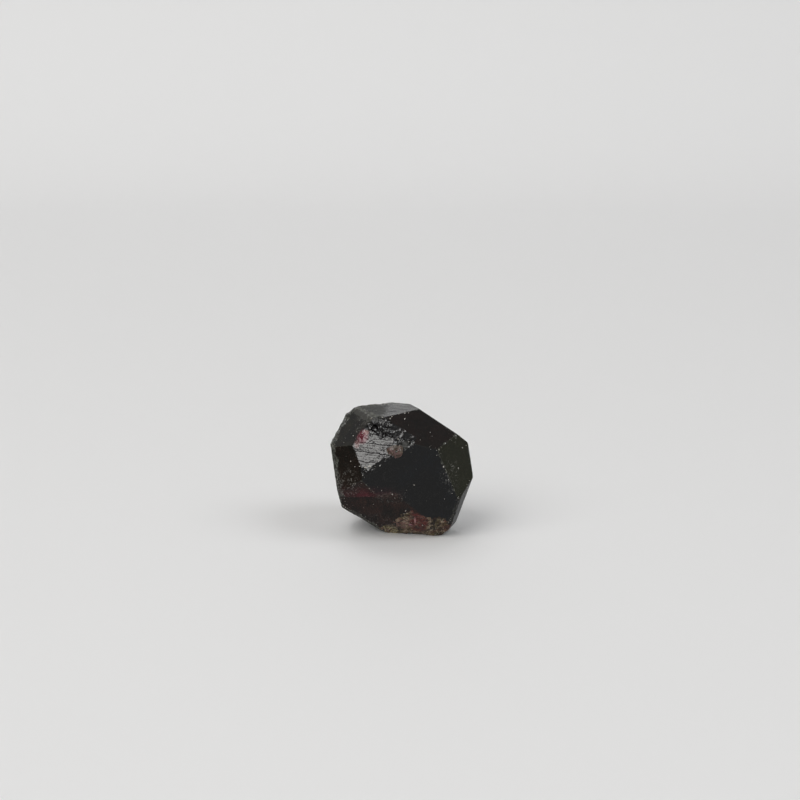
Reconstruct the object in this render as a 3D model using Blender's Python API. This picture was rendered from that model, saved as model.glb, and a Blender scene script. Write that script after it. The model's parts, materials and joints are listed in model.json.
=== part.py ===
"""Garnet crystal: a loose, misshapen trapezohedron with a stepped shoulder and a broken foot.

The form is the garnet trapezohedron {211}. Each face is named by its Miller index and placed by its
distance from the crystal's centre, so the habit is changed by changing one distance. The face (1 1 -2)
is level on top and the parallel face (-1 -1 2) is the flat that the crystal rests on. Growth steps run
along [1 1 1]. Lengths are in millimetres until the finished mesh is scaled to metres.
"""

import math

import bmesh
import bpy
from mathutils import Matrix, Vector, noise

MM = 0.001

# How the crystal lies: the direction that is up, the direction of the growth steps, and the turn
# of that direction about the vertical.
UP_INDEX = (1, 1, -2)
STEP_INDEX = (1, 1, 1)
TURN_DEG = -18.7

# Miller index: distance of the face from the centre.
FACE_DISTANCES = {
    (-1, 2, 1): 7.45,
    (1, 2, -1): 9.7,
    (1, 2, 1): 9.55,
    (1, 1, 2): 10.45,
    (-2, 1, 1): 8.45,
    (-1, 2, -1): 10.15,
    (-1, 1, -2): 10.95,
    (-2, 1, -1): 10.5,
    (1, 1, -2): 9.95,
    (2, 1, 1): 10.65,
    (2, -1, 1): 6.9,
    (2, -1, -1): 6.7,
    (-2, -1, 1): 9.7,
    (-2, -1, -1): 9.9,
    (-1, -1, -2): 10.8,
    (1, -1, -2): 8.85,
    (-1, -1, 2): 9.6,
    (-1, 1, 2): 10.9,
    (1, -1, 2): 10.6,
    (1, -2, 1): 9.5,
    (-1, -2, 1): 9.9,
    (1, -2, -1): 9.1,
    (-1, -2, -1): 9.7,
    # A vicinal face, a little off (2 1 -1).
    (7, 2, -3): 8.87,
    # The only dodecahedron face, on the back.
    (1, -1, 0): 8.9,
}
REST_INDEX = (-1, -1, 2)

# Worn edges: how far each crystal edge is taken down.
EDGE_WEAR = 0.035

# The ledge across the lower left face. Below it the face stands back, more to the right.
LEDGE_FACE = (-2, 1, 1)
LEDGE_SWING = 0.07
LEDGE_DISTANCE = 7.28
LEDGE_HEIGHT = -1.11
LEDGE_SLOPE = 0.19

# The stepped shoulder, which replaces the face (-1 2 -1).
STEP_FACE = (-1, 2, -1)
STEP_CENTRE = (-3.3, -7.1, 6.5)
STEP_COUNT = 13
STEP_PITCH = 0.72
STEP_RISE = 0.14
STEP_WAVE = 0.16
BROKEN_FROM = 1.7
BROKEN_DEPTH = 0.42

# Growth steps on the level top.
TOP_FACE = (1, 1, -2)
TOP_CENTRE = (-0.5, 0.0, 9.9)
TOP_PITCH = 1.15
TOP_RISE = 0.06

# The broken foot: direction and distance of the break, its middle, and its roughness.
FOOT_NORMAL = (0.148, -0.838, -0.524)
FOOT_DISTANCE = 8.48
FOOT_CENTRE = (2.5, -5.2, -7.2)
FOOT_ROUGH = 0.34

# The break's tail, which takes the front edge off the resting face on the left.
TAIL_NORMAL = (-0.12, -0.62, -0.775)
TAIL_DISTANCE = 8.8
TAIL_CENTRE = (-1.0, -3.0, -8.9)

# The corner knocked off the foot on the right.
CORNER_NORMAL = (0.62, -0.2, -0.76)
CORNER_DISTANCE = 11.65

# Chips: the two faces that meet there, the place along their edge (0 to 1), radius and depth.
CHIPS = (
    ((-1, 2, -1), (-1, 1, -2), 0.08, 1.5, 0.4),
    ((-1, 2, -1), (-1, 1, -2), 0.45, 1.2, 0.3),
    ((-1, 2, -1), (-1, 1, -2), 0.78, 1.3, 0.36),
    ((-1, 2, -1), (-2, 1, -1), 0.85, 0.9, 0.2),
    ((-1, 1, -2), (1, 1, -2), 0.3, 1.4, 0.2),
    ((-1, 1, -2), (1, 1, -2), 0.75, 1.0, 0.16),
    ((-1, 1, -2), (-1, -1, -2), 0.35, 1.0, 0.15),
    ((-2, 1, -1), (-2, -1, -1), 0.3, 0.9, 0.12),
    ((-2, 1, -1), (-2, -1, -1), 0.72, 0.8, 0.12),
    ((1, 2, 1), (-1, 2, 1), 0.42, 0.8, 0.1),
    ((1, 1, 2), (-1, 2, 1), 0.5, 0.8, 0.12),
    ((1, 2, -1), (1, 2, 1), 0.9, 0.8, 0.1),
    ((2, 1, 1), (1, 2, 1), 0.25, 0.8, 0.1),
    ((1, -2, 1), (2, -1, 1), 0.6, 1.6, 0.3),
    ((2, -1, -1), (2, -1, 1), 0.35, 1.3, 0.2),
    ((1, -1, -2), (-1, -1, -2), 0.5, 1.2, 0.2),
    ((-1, -2, -1), (-2, -1, -1), 0.6, 1.1, 0.16),
    ((-2, -1, 1), (-1, -2, 1), 0.4, 1.2, 0.18),
)

# The small dark pit high on the shoulder: place, radius and depth.
PIT = ((-4.2, -5.9, 8.3), 0.75, 0.75)

# The rounded remnant at the lower right end of the stepped shoulder.
LUMP_CENTRE = (-0.8, -8.15, 5.6)
LUMP_RADII = (1.1, 0.75, 1.15)

COLOUR = (0.035, 0.012, 0.014, 1.0)


def crystal_axes():
    """The matrix that turns a Miller index into a world direction."""
    up = Vector(UP_INDEX).normalized()
    side = Vector(STEP_INDEX).normalized()
    back = up.cross(side)
    turn = Matrix.Rotation(math.radians(TURN_DEG), 3, "Z")
    return turn @ Matrix((side, back, up))


AXES = crystal_axes()


def direction(index):
    """The unit normal of the face with this Miller index."""
    return (AXES @ Vector(index)).normalized()


def cut_away(bm, normal, distance):
    """Removes everything beyond one plane and closes the cut with one flat face."""
    geometry = bm.verts[:] + bm.edges[:] + bm.faces[:]
    result = bmesh.ops.bisect_plane(
        bm,
        geom=geometry,
        dist=0.0001,
        plane_co=normal * distance,
        plane_no=normal,
        clear_outer=True,
    )
    rim = [item for item in result["geom_cut"] if isinstance(item, bmesh.types.BMEdge)]
    if len(rim) > 2:
        bmesh.ops.contextual_create(bm, geom=rim)


def wear_edges(bm):
    """Takes a narrow flat off every crystal edge."""
    planes = []
    for edge in bm.edges:
        if len(edge.link_faces) == 2:
            first, second = edge.link_faces
            normal = (first.normal + second.normal).normalized()
            reach = max(normal.dot(vert.co) for vert in edge.verts)
            planes.append((normal, reach - EDGE_WEAR))
    for normal, distance in planes:
        cut_away(bm, normal, distance)


def grown_form():
    """A block cut by every face, with worn edges, and its sharp corners before the wear."""
    bm = bmesh.new()
    bmesh.ops.create_cube(bm, size=60.0)
    for index, distance in FACE_DISTANCES.items():
        cut_away(bm, direction(index), distance)
    cut_away(bm, Vector(CORNER_NORMAL).normalized(), CORNER_DISTANCE)
    bm.normal_update()
    corners = [vert.co.copy() for vert in bm.verts]
    wear_edges(bm)
    bmesh.ops.recalc_face_normals(bm, faces=bm.faces[:])
    return bm, corners


def mesh_object(name, bm):
    """Makes a scene object from a bmesh."""
    mesh = bpy.data.meshes.new(name)
    bm.to_mesh(mesh)
    bm.free()
    obj = bpy.data.objects.new(name, mesh)
    bpy.context.scene.collection.objects.link(obj)
    return obj


def apply_boolean(body, tool, operation):
    """Cuts or joins the tool with the body, then removes the tool."""
    modifier = body.modifiers.new("shape", "BOOLEAN")
    modifier.operation = operation
    modifier.solver = "EXACT"
    modifier.object = tool
    bpy.context.view_layer.objects.active = body
    bpy.ops.object.modifier_apply(modifier=modifier.name)
    bpy.data.objects.remove(tool, do_unlink=True)


def relief_tool(name, frame, spans, counts, height):
    """A cutter whose underside is the surface height(u, v) over a plane.

    frame is (centre, u axis, v axis, outward normal).
    """
    centre, along, across, outward = frame
    (u_low, u_high), (v_low, v_high) = spans
    rows, columns = counts
    bm = bmesh.new()
    low = []
    high = []
    for i in range(rows + 1):
        u = u_low + (u_high - u_low) * i / rows
        low_row = []
        high_row = []
        for j in range(columns + 1):
            v, lift = height(u, v_low + (v_high - v_low) * j / columns, j)
            flat = centre + along * u + across * v
            low_row.append(bm.verts.new(flat + outward * lift))
            high_row.append(bm.verts.new(flat + outward * 5.0))
        low.append(low_row)
        high.append(high_row)
    for i in range(rows):
        for j in range(columns):
            a, b, c, d = low[i][j], low[i + 1][j], low[i + 1][j + 1], low[i][j + 1]
            if (i + j) % 2:
                bm.faces.new((a, d, c))
                bm.faces.new((a, c, b))
            else:
                bm.faces.new((a, d, b))
                bm.faces.new((b, d, c))
            bm.faces.new((high[i][j], high[i + 1][j], high[i + 1][j + 1], high[i][j + 1]))
    for i in range(rows):
        bm.faces.new((low[i][0], low[i + 1][0], high[i + 1][0], high[i][0]))
        bm.faces.new((low[i + 1][-1], low[i][-1], high[i][-1], high[i + 1][-1]))
    for j in range(columns):
        bm.faces.new((low[0][j + 1], low[0][j], high[0][j], high[0][j + 1]))
        bm.faces.new((low[-1][j], low[-1][j + 1], high[-1][j + 1], high[-1][j]))
    bmesh.ops.recalc_face_normals(bm, faces=bm.faces[:])
    return mesh_object(name, bm)


def face_frame(normal, distance, centre_hint):
    """Centre, axis along the growth steps, axis up the slope, and normal, of a face."""
    along = direction(STEP_INDEX)
    along = (along - normal * along.dot(normal)).normalized()
    across = normal.cross(along).normalized()
    hint = Vector(centre_hint)
    centre = hint + normal * (distance - normal.dot(hint))
    return centre, along, across, normal


def step_height(u, v, column):
    """The stepped shoulder: treads that lean back, risers that face down, broken at the top."""
    step = column // 2
    top_of_riser = column % 2
    wave = noise.noise(Vector((u * 0.75, step * 3.7, 2.0))) * STEP_WAVE
    place = (step - STEP_COUNT / 2) * STEP_PITCH + wave + 0.1 * top_of_riser
    lift = STEP_RISE * (top_of_riser - 0.5) * 1.4 - 0.1
    lift += noise.noise(Vector((u * 0.6, place * 0.8, 7.0))) * 0.1
    broken = min(max((place - BROKEN_FROM) / 0.5, 0.0), 1.0)
    broken *= min(max((1.6 - u) / 1.2, 0.0), 1.0)
    rough = 0.6 + 0.8 * noise.noise(Vector((u * 1.4, place * 1.7, 11.0)))
    return place, min(lift - broken * BROKEN_DEPTH * rough, -0.01)


def top_height(u, v, column):
    """Low growth steps on the level top."""
    step = column // 2
    side = column % 2
    wave = noise.noise(Vector((u * 0.35, step * 5.1, 21.0))) * 0.35
    place = (step - 4) * TOP_PITCH + wave + 0.12 * side
    fall = noise.noise(Vector((u * 0.5, step * 1.9, 4.0))) * 0.03
    return place, -0.045 + (side - 0.5) * TOP_RISE + fall


def foot_height(u, v, column):
    """The uneven break along the foot."""
    rough = noise.noise(Vector((u * 0.55, v * 0.7, 31.0)))
    rough += 0.55 * noise.noise(Vector((u * 1.35, v * 1.5, 37.0)))
    return v, rough * FOOT_ROUGH


def cut_ledge(body):
    """Sets the lower left face back below a sloping ledge."""
    normal = (direction(LEDGE_FACE) + Vector((LEDGE_SWING, 0.0, 0.0))).normalized()
    bm = bmesh.new()
    bmesh.ops.create_cube(bm, size=60.0)
    cut_away(bm, -normal, -LEDGE_DISTANCE)
    roof = Vector((-LEDGE_SLOPE, 0.0, 1.0))
    cut_away(bm, roof.normalized(), LEDGE_HEIGHT / roof.length)
    bmesh.ops.recalc_face_normals(bm, faces=bm.faces[:])
    apply_boolean(body, mesh_object("ledge", bm), "DIFFERENCE")


def edge_place(corners, first, second, share):
    """A point on the edge between two faces, and the direction out of the crystal there."""
    normals = direction(first), direction(second)
    distances = FACE_DISTANCES[first], FACE_DISTANCES[second]
    ends = [
        corner
        for corner in corners
        if abs(normals[0].dot(corner) - distances[0]) < 0.003
        and abs(normals[1].dot(corner) - distances[1]) < 0.003
    ]
    if len(ends) < 2:
        raise ValueError(f"the faces {first} and {second} share no edge")
    run = normals[0].cross(normals[1])
    ends.sort(key=run.dot)
    return ends[0].lerp(ends[-1], share), (normals[0] + normals[1]).normalized()


def scoop(body, number, place, outward, radius, depth):
    """Takes one shallow, shell-shaped chip out of the surface."""
    bm = bmesh.new()
    bmesh.ops.create_icosphere(bm, subdivisions=2, radius=radius)
    for vert in bm.verts:
        vert.co *= 1.0 + 0.09 * noise.noise(vert.co * 1.3 + Vector((number * 7.0, 0.0, 0.0)))
    bmesh.ops.translate(bm, verts=bm.verts[:], vec=place + outward * (radius - depth))
    apply_boolean(body, mesh_object("chip", bm), "DIFFERENCE")


def cut_chips(body, corners):
    """Cuts the chips along the edges and the pit in the shoulder."""
    for number, (first, second, share, radius, depth) in enumerate(CHIPS):
        place, outward = edge_place(corners, first, second, share)
        scoop(body, number, place, outward, radius, depth)
    centre, radius, depth = PIT
    scoop(body, len(CHIPS), Vector(centre), direction(STEP_FACE), radius, depth)


def join_lump(body):
    """Fuses the rounded remnant to the shoulder."""
    bm = bmesh.new()
    bmesh.ops.create_icosphere(bm, subdivisions=2, radius=1.0)
    for vert in bm.verts:
        uneven = 1.0 + 0.16 * noise.noise(vert.co * 1.7)
        vert.co = Vector([value * size * uneven for value, size in zip(vert.co, LUMP_RADII)])
    bmesh.ops.translate(bm, verts=bm.verts[:], vec=Vector(LUMP_CENTRE))
    apply_boolean(body, mesh_object("lump", bm), "UNION")


def garnet_material():
    """Dark, glassy almandine."""
    material = bpy.data.materials.new("garnet")
    material.use_nodes = True
    shader = material.node_tree.nodes["Principled BSDF"]
    shader.inputs["Base Color"].default_value = COLOUR
    shader.inputs["Roughness"].default_value = 0.12
    shader.inputs["Metallic"].default_value = 0.0
    shader.inputs["IOR"].default_value = 1.79
    return material


def settle(body):
    """Puts the origin at the middle of the footprint, on the resting face, in metres."""
    points = [vert.co for vert in body.data.vertices]
    low = [min(point[axis] for point in points) for axis in range(3)]
    high = [max(point[axis] for point in points) for axis in range(3)]
    shift = Vector((-(low[0] + high[0]) / 2, -(low[1] + high[1]) / 2, -low[2]))
    body.data.transform(Matrix.Scale(MM, 4) @ Matrix.Translation(shift))
    print("moved by", [round(value, 4) for value in shift])


def tidy(body):
    """Merges slivers and makes plain triangles."""
    bm = bmesh.new()
    bm.from_mesh(body.data)
    bmesh.ops.remove_doubles(bm, verts=bm.verts[:], dist=0.004)
    bmesh.ops.dissolve_degenerate(bm, edges=bm.edges[:], dist=0.002)
    bmesh.ops.triangulate(bm, faces=bm.faces[:])
    bm.to_mesh(body.data)
    print("triangles", len(bm.faces))
    bm.free()


def cut_reliefs(body):
    """Cuts the stepped shoulder, the growth steps on top, and the broken foot with its tail."""
    normal = direction(STEP_FACE)
    frame = face_frame(normal, FACE_DISTANCES[STEP_FACE], STEP_CENTRE)
    columns = 2 * STEP_COUNT + 1
    tool = relief_tool("steps", frame, ((-6.5, 6.5), (0.0, 1.0)), (24, columns), step_height)
    apply_boolean(body, tool, "DIFFERENCE")
    normal = direction(TOP_FACE)
    frame = face_frame(normal, FACE_DISTANCES[TOP_FACE], TOP_CENTRE)
    tool = relief_tool("top", frame, ((-9.5, 9.5), (0.0, 1.0)), (12, 17), top_height)
    apply_boolean(body, tool, "DIFFERENCE")
    normal = Vector(FOOT_NORMAL).normalized()
    frame = face_frame(normal, FOOT_DISTANCE, FOOT_CENTRE)
    tool = relief_tool("foot", frame, ((-8.0, 9.0), (-4.5, 4.5)), (30, 16), foot_height)
    apply_boolean(body, tool, "DIFFERENCE")
    normal = Vector(TAIL_NORMAL).normalized()
    frame = face_frame(normal, TAIL_DISTANCE, TAIL_CENTRE)
    tool = relief_tool("tail", frame, ((-6.0, 5.0), (-3.0, 3.0)), (20, 10), foot_height)
    apply_boolean(body, tool, "DIFFERENCE")


def main():
    """Builds the crystal."""
    for obj in list(bpy.data.objects):
        bpy.data.objects.remove(obj, do_unlink=True)
    form, corners = grown_form()
    body = mesh_object("garnet_crystal", form)
    cut_ledge(body)
    cut_reliefs(body)
    cut_chips(body, corners)
    join_lump(body)
    tidy(body)
    settle(body)
    body.data.materials.clear()
    body.data.materials.append(garnet_material())


main()
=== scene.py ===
"""Garnet crystal: the finished look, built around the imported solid.

The crystal is cut from one block, face by face, and then its stepped shoulder, growth steps,
breaks, chips and worn edges are cut in with fine relief. Lengths are in millimetres from the
crystal's centre until the finished piece is settled into the frame, in metres.
"""

import sys
import json
import logging
import math
import random
from collections import Counter
from collections.abc import Callable, Iterable
from dataclasses import dataclass, field
from enum import Enum
from functools import partial, reduce

import bpy
from mathutils import Matrix, Vector, noise

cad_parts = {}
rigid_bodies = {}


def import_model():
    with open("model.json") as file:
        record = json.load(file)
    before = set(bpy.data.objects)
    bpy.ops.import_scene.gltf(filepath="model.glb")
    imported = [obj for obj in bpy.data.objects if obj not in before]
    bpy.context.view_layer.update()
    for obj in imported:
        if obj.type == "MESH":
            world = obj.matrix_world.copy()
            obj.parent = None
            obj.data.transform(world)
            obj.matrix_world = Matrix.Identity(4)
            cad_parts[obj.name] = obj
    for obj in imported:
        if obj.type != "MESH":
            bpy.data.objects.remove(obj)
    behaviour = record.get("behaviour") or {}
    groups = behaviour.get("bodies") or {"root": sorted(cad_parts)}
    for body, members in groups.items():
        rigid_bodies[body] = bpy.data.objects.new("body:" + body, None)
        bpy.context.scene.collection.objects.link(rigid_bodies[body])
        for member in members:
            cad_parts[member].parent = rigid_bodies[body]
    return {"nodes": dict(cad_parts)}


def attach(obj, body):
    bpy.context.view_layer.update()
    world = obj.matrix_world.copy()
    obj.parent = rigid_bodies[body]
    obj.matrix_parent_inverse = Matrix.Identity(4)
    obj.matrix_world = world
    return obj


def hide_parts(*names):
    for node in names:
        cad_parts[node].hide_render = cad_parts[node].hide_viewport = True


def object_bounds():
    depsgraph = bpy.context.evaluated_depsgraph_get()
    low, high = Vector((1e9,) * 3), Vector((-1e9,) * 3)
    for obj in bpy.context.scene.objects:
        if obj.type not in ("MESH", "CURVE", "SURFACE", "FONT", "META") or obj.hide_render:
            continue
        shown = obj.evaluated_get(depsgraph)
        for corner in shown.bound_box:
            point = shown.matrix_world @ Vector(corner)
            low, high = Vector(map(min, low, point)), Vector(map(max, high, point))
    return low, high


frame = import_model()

CAD_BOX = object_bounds()

MM = 0.001
# From the frame's origin to the crystal's centre, in millimetres.
SHIFT = Vector((0.0352, -0.3663, 9.6))
# How far the crystal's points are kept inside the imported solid's box, in millimetres.
BOX_MARGIN = 0.004
# How alike two unit normals are that belong to one face: their dot product.
SAME_FACE = 0.9999
SAME_CLEAN_FACE = 0.99995

log = logging.getLogger("garnet")

Piece = bpy.types.Object
Socket = bpy.types.NodeSocket
Index = tuple[int, int, int]
Shares = tuple[float, float, float]
Colour = tuple[float, float, float]


class Zone(Enum):
    """Which kind of surface a face of the finished mesh belongs to."""

    GROWN = "zone_grown"
    SHOULDER = "zone_shoulder"
    TOP = "zone_top"
    FOOT = "zone_foot"
    TAIL = "zone_tail"
    FLAP = "zone_flap"
    LEDGE = "zone_ledge"
    CHIP = "zone_chip"
    PIT = "zone_pit"
    LUMP = "zone_lump"
    RIM = "zone_rim"
    SCAR = "zone_scar"
    TERRACE = "zone_terrace"
    BEVEL = "zone_bevel"


# --- Working with pieces -------------------------------------------------------------------------


def pick_nothing() -> None:
    """Deselects every object."""
    bpy.ops.object.select_all(action="DESELECT")


def pick_only(piece: Piece) -> None:
    """Selects one piece alone and makes it the active one.

    Args:
        piece: The object to work on next.
    """
    pick_nothing()
    piece.select_set(True)
    bpy.context.view_layer.objects.active = piece


def added(add: Callable[..., object], **settings: object) -> Piece:
    """Adds an object with nothing else selected.

    Args:
        add: The operator that adds it.
        settings: The operator's settings.

    Returns:
        The new object.
    """
    pick_nothing()
    add(**settings)
    return bpy.context.object


def join_all(pieces: list[Piece]) -> Piece:
    """Joins pieces into the first one and applies its place, turn and scale.

    Args:
        pieces: The objects to join.

    Returns:
        The joined object.
    """
    pick_only(pieces[0])
    if len(pieces) > 1:
        for piece in pieces:
            piece.select_set(True)
        bpy.ops.object.join()
    bpy.ops.object.transform_apply(location=True, rotation=True, scale=True)
    return bpy.context.object


class EditMode:
    """Edit mode on one piece, with nothing selected at the start unless told otherwise."""

    def __init__(self, piece: Piece, kind: str = "FACE", keep: bool = False) -> None:
        """Keeps the piece, the kind of element to select and whether its selection stays.

        Args:
            piece: The object to work on.
            kind: VERT, EDGE or FACE.
            keep: Whether what is selected in object mode stays selected.
        """
        self.piece = piece
        self.kind = kind
        self.keep = keep

    def __enter__(self) -> "EditMode":
        """Enters edit mode, and deselects everything unless the selection is kept.

        Returns:
            This edit mode.
        """
        pick_only(self.piece)
        kinds = ("VERT", "EDGE", "FACE")
        bpy.context.tool_settings.mesh_select_mode = [self.kind == kind for kind in kinds]
        bpy.ops.object.mode_set(mode="EDIT")
        if not self.keep:
            bpy.ops.mesh.select_all(action="DESELECT")
        return self

    def __exit__(self, *error: object) -> None:
        """Goes back to object mode."""
        bpy.ops.object.mode_set(mode="OBJECT")


def mark_zone(piece: Piece, zone: Zone) -> None:
    """Gives every face of a piece the stand-in material that names its zone.

    Args:
        piece: The object to mark.
        zone: The zone its faces belong to.
    """
    material = bpy.data.materials.get(zone.value) or bpy.data.materials.new(zone.value)
    piece.data.materials.clear()
    piece.data.materials.append(material)


def combine(body: Piece, tool: Piece, operation: str = "DIFFERENCE") -> None:
    """Cuts or joins a tool with the body, puts the mesh in a fixed order and removes the tool.

    Args:
        body: The crystal.
        tool: A closed mesh, whose zone goes with its faces.
        operation: DIFFERENCE or UNION.
    """
    modifier = body.modifiers.new("shape", "BOOLEAN")
    modifier.operation = operation
    modifier.solver = "EXACT"
    modifier.material_mode = "TRANSFER"
    modifier.object = tool
    pick_only(body)
    bpy.ops.object.modifier_apply(modifier=modifier.name)
    with EditMode(body, "VERT"):
        bpy.ops.mesh.select_all(action="SELECT")
        bpy.ops.mesh.sort_elements(type="CURSOR_DISTANCE", elements={"VERT", "EDGE", "FACE"})
    log.info("%s with %s: %d faces", operation.lower(), tool.name, len(body.data.polygons))
    bpy.data.objects.remove(tool, do_unlink=True)


def clamp(value: float, low: float = 0.0, high: float = 1.0) -> float:
    """Returns the value held between two limits."""
    return min(max(value, low), high)


def grain(u: float, v: float, layer: float) -> float:
    """Returns smooth noise, about -1 to 1, of two lengths and a layer number."""
    return noise.noise(Vector((u, v, layer)))


def chance(a: float, b: float, seed: float) -> float:
    """Returns a fixed number from 0 to 1 for a cell of a grid."""
    value = math.sin(a * 127.1 + b * 311.7 + seed * 74.7) * 43758.5453
    return value - math.floor(value)


def between(low: float, high: float, share: float) -> float:
    """Returns the value at this share of the way from low to high."""
    return low + (high - low) * share


def shells(
    u: float, v: float, cell: float, slope: float, bowl: float, seed: float
) -> tuple[float, float]:
    """The form of a shell-like break: small hollows that meet in sharp ridges.

    Args:
        u: Place along the break.
        v: Place across the break.
        cell: Usual size of one hollow.
        slope: How steeply each hollow may lean.
        bowl: How strongly each hollow is dished.
        seed: Number of this pattern.

    Returns:
        The height, and how far it is below the next hollow's, which is small along a ridge.
    """
    row, column = math.floor(u / cell), math.floor(v / cell)
    best = second = math.inf
    for a in (row - 1, row, row + 1):
        for b in (column - 1, column, column + 1):
            du = u - (a + 0.15 + 0.7 * chance(a, b, seed)) * cell
            dv = v - (b + 0.15 + 0.7 * chance(a, b, seed + 1.0)) * cell
            lean_u = (chance(a, b, seed + 2.0) - 0.5) * 2.0 * slope
            lean_v = (chance(a, b, seed + 3.0) - 0.5) * 2.0 * slope
            height = lean_u * du + lean_v * dv + bowl * (du * du + dv * dv) / cell
            height += (chance(a, b, seed + 4.0) - 0.5) * slope * cell * 0.5
            if height < best:
                best, second = height, best
            elif height < second:
                second = height
    return best, second - best


# --- The grown form ------------------------------------------------------------------------------


@dataclass(frozen=True)
class CrystalAxes:
    """How the crystal lies: which index is up, along which the growth steps run, and its turn."""

    up: Index = (1, 1, -2)
    steps: Index = (1, 1, 1)
    turn_deg: float = -18.7

    def matrix(self) -> Matrix:
        """Returns the matrix that turns a Miller index into a direction."""
        up, side = Vector(self.up).normalized(), Vector(self.steps).normalized()
        turn = Matrix.Rotation(math.radians(self.turn_deg), 3, "Z")
        return turn @ Matrix((side, up.cross(side), up))


AXES = CrystalAxes().matrix()


def direction(index: Iterable[float]) -> Vector:
    """Returns the unit normal of the face with this Miller index."""
    return (AXES @ Vector(index)).normalized()


@dataclass(frozen=True)
class FaceFrame:
    """A plane of the crystal with axes along the growth steps and up its slope."""

    centre: Vector
    along: Vector
    across: Vector
    outward: Vector

    @classmethod
    def on_plane(cls, normal: Vector, distance: float, hint: Iterable[float]) -> "FaceFrame":
        """Lays a frame on a plane.

        Args:
            normal: The plane's unit normal, out of the crystal.
            distance: The plane's distance from the crystal's centre.
            hint: A point near the wanted middle.

        Returns:
            The frame, with its centre on the plane.
        """
        along = direction(CrystalAxes.steps)
        along = (along - normal * along.dot(normal)).normalized()
        centre = Vector(hint)
        centre = centre + normal * (distance - normal.dot(centre))
        return cls(centre, along, normal.cross(along).normalized(), normal)

    def point(self, u: float, v: float, lift: float) -> Vector:
        """Returns the point at these lengths along, across and out of the plane."""
        return self.centre + self.along * u + self.across * v + self.outward * lift

    def lengths(self, point: Vector) -> Shares:
        """Returns a point's lengths along, across and out of the plane."""
        offset = point - self.centre
        return offset.dot(self.along), offset.dot(self.across), offset.dot(self.outward)


@dataclass(frozen=True)
class CrystalEdge:
    """One edge of the sharp form, between two faces."""

    start: Vector
    end: Vector
    first: Vector
    second: Vector

    @property
    def outward(self) -> Vector:
        """The direction out of the crystal, halfway between the two faces."""
        return (self.first + self.second).normalized()

    @property
    def run(self) -> Vector:
        """The direction from start to end."""
        return (self.end - self.start).normalized()

    @property
    def length(self) -> float:
        """The edge's length."""
        return (self.end - self.start).length

    def touches(self, first: Index, second: Index) -> bool:
        """Returns whether the edge lies between the faces with these indices."""
        normals = (direction(first), direction(second))
        return all(max(n.dot(self.first), n.dot(self.second)) > SAME_FACE for n in normals)


def edge_points(edges: list[CrystalEdge], first: Index, second: Index) -> list[Vector]:
    """Finds where the edge between two faces runs.

    Args:
        edges: The edges of the sharp form.
        first: The one face.
        second: The other face.

    Returns:
        The ends of the edge's pieces, in order along it.
    """
    run = direction(first).cross(direction(second))
    found = [edge for edge in edges if edge.touches(first, second)]
    return sorted((point for edge in found for point in (edge.start, edge.end)), key=run.dot)


# Every face of the form, with its distance from the centre.
FACES: dict[Index, float] = {
    (-1, 2, 1): 7.45, (1, 2, -1): 9.7, (1, 2, 1): 9.55, (1, 1, 2): 10.45, (-2, 1, 1): 8.45,
    (-1, 2, -1): 10.15, (-1, 1, -2): 10.95, (-2, 1, -1): 10.5, (1, 1, -2): 9.95,
    (2, 1, 1): 10.65, (2, -1, 1): 6.9, (2, -1, -1): 6.7, (-2, -1, 1): 9.7, (-2, -1, -1): 9.9,
    (-1, -1, -2): 10.8, (1, -1, -2): 8.85, (-1, -1, 2): 9.6, (-1, 1, 2): 10.9,
    (1, -1, 2): 10.6, (1, -2, 1): 9.5, (-1, -2, 1): 9.9, (1, -2, -1): 9.1,
    (-1, -2, -1): 9.7, (7, 2, -3): 8.87, (1, -1, 0): 8.9,
}


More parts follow.
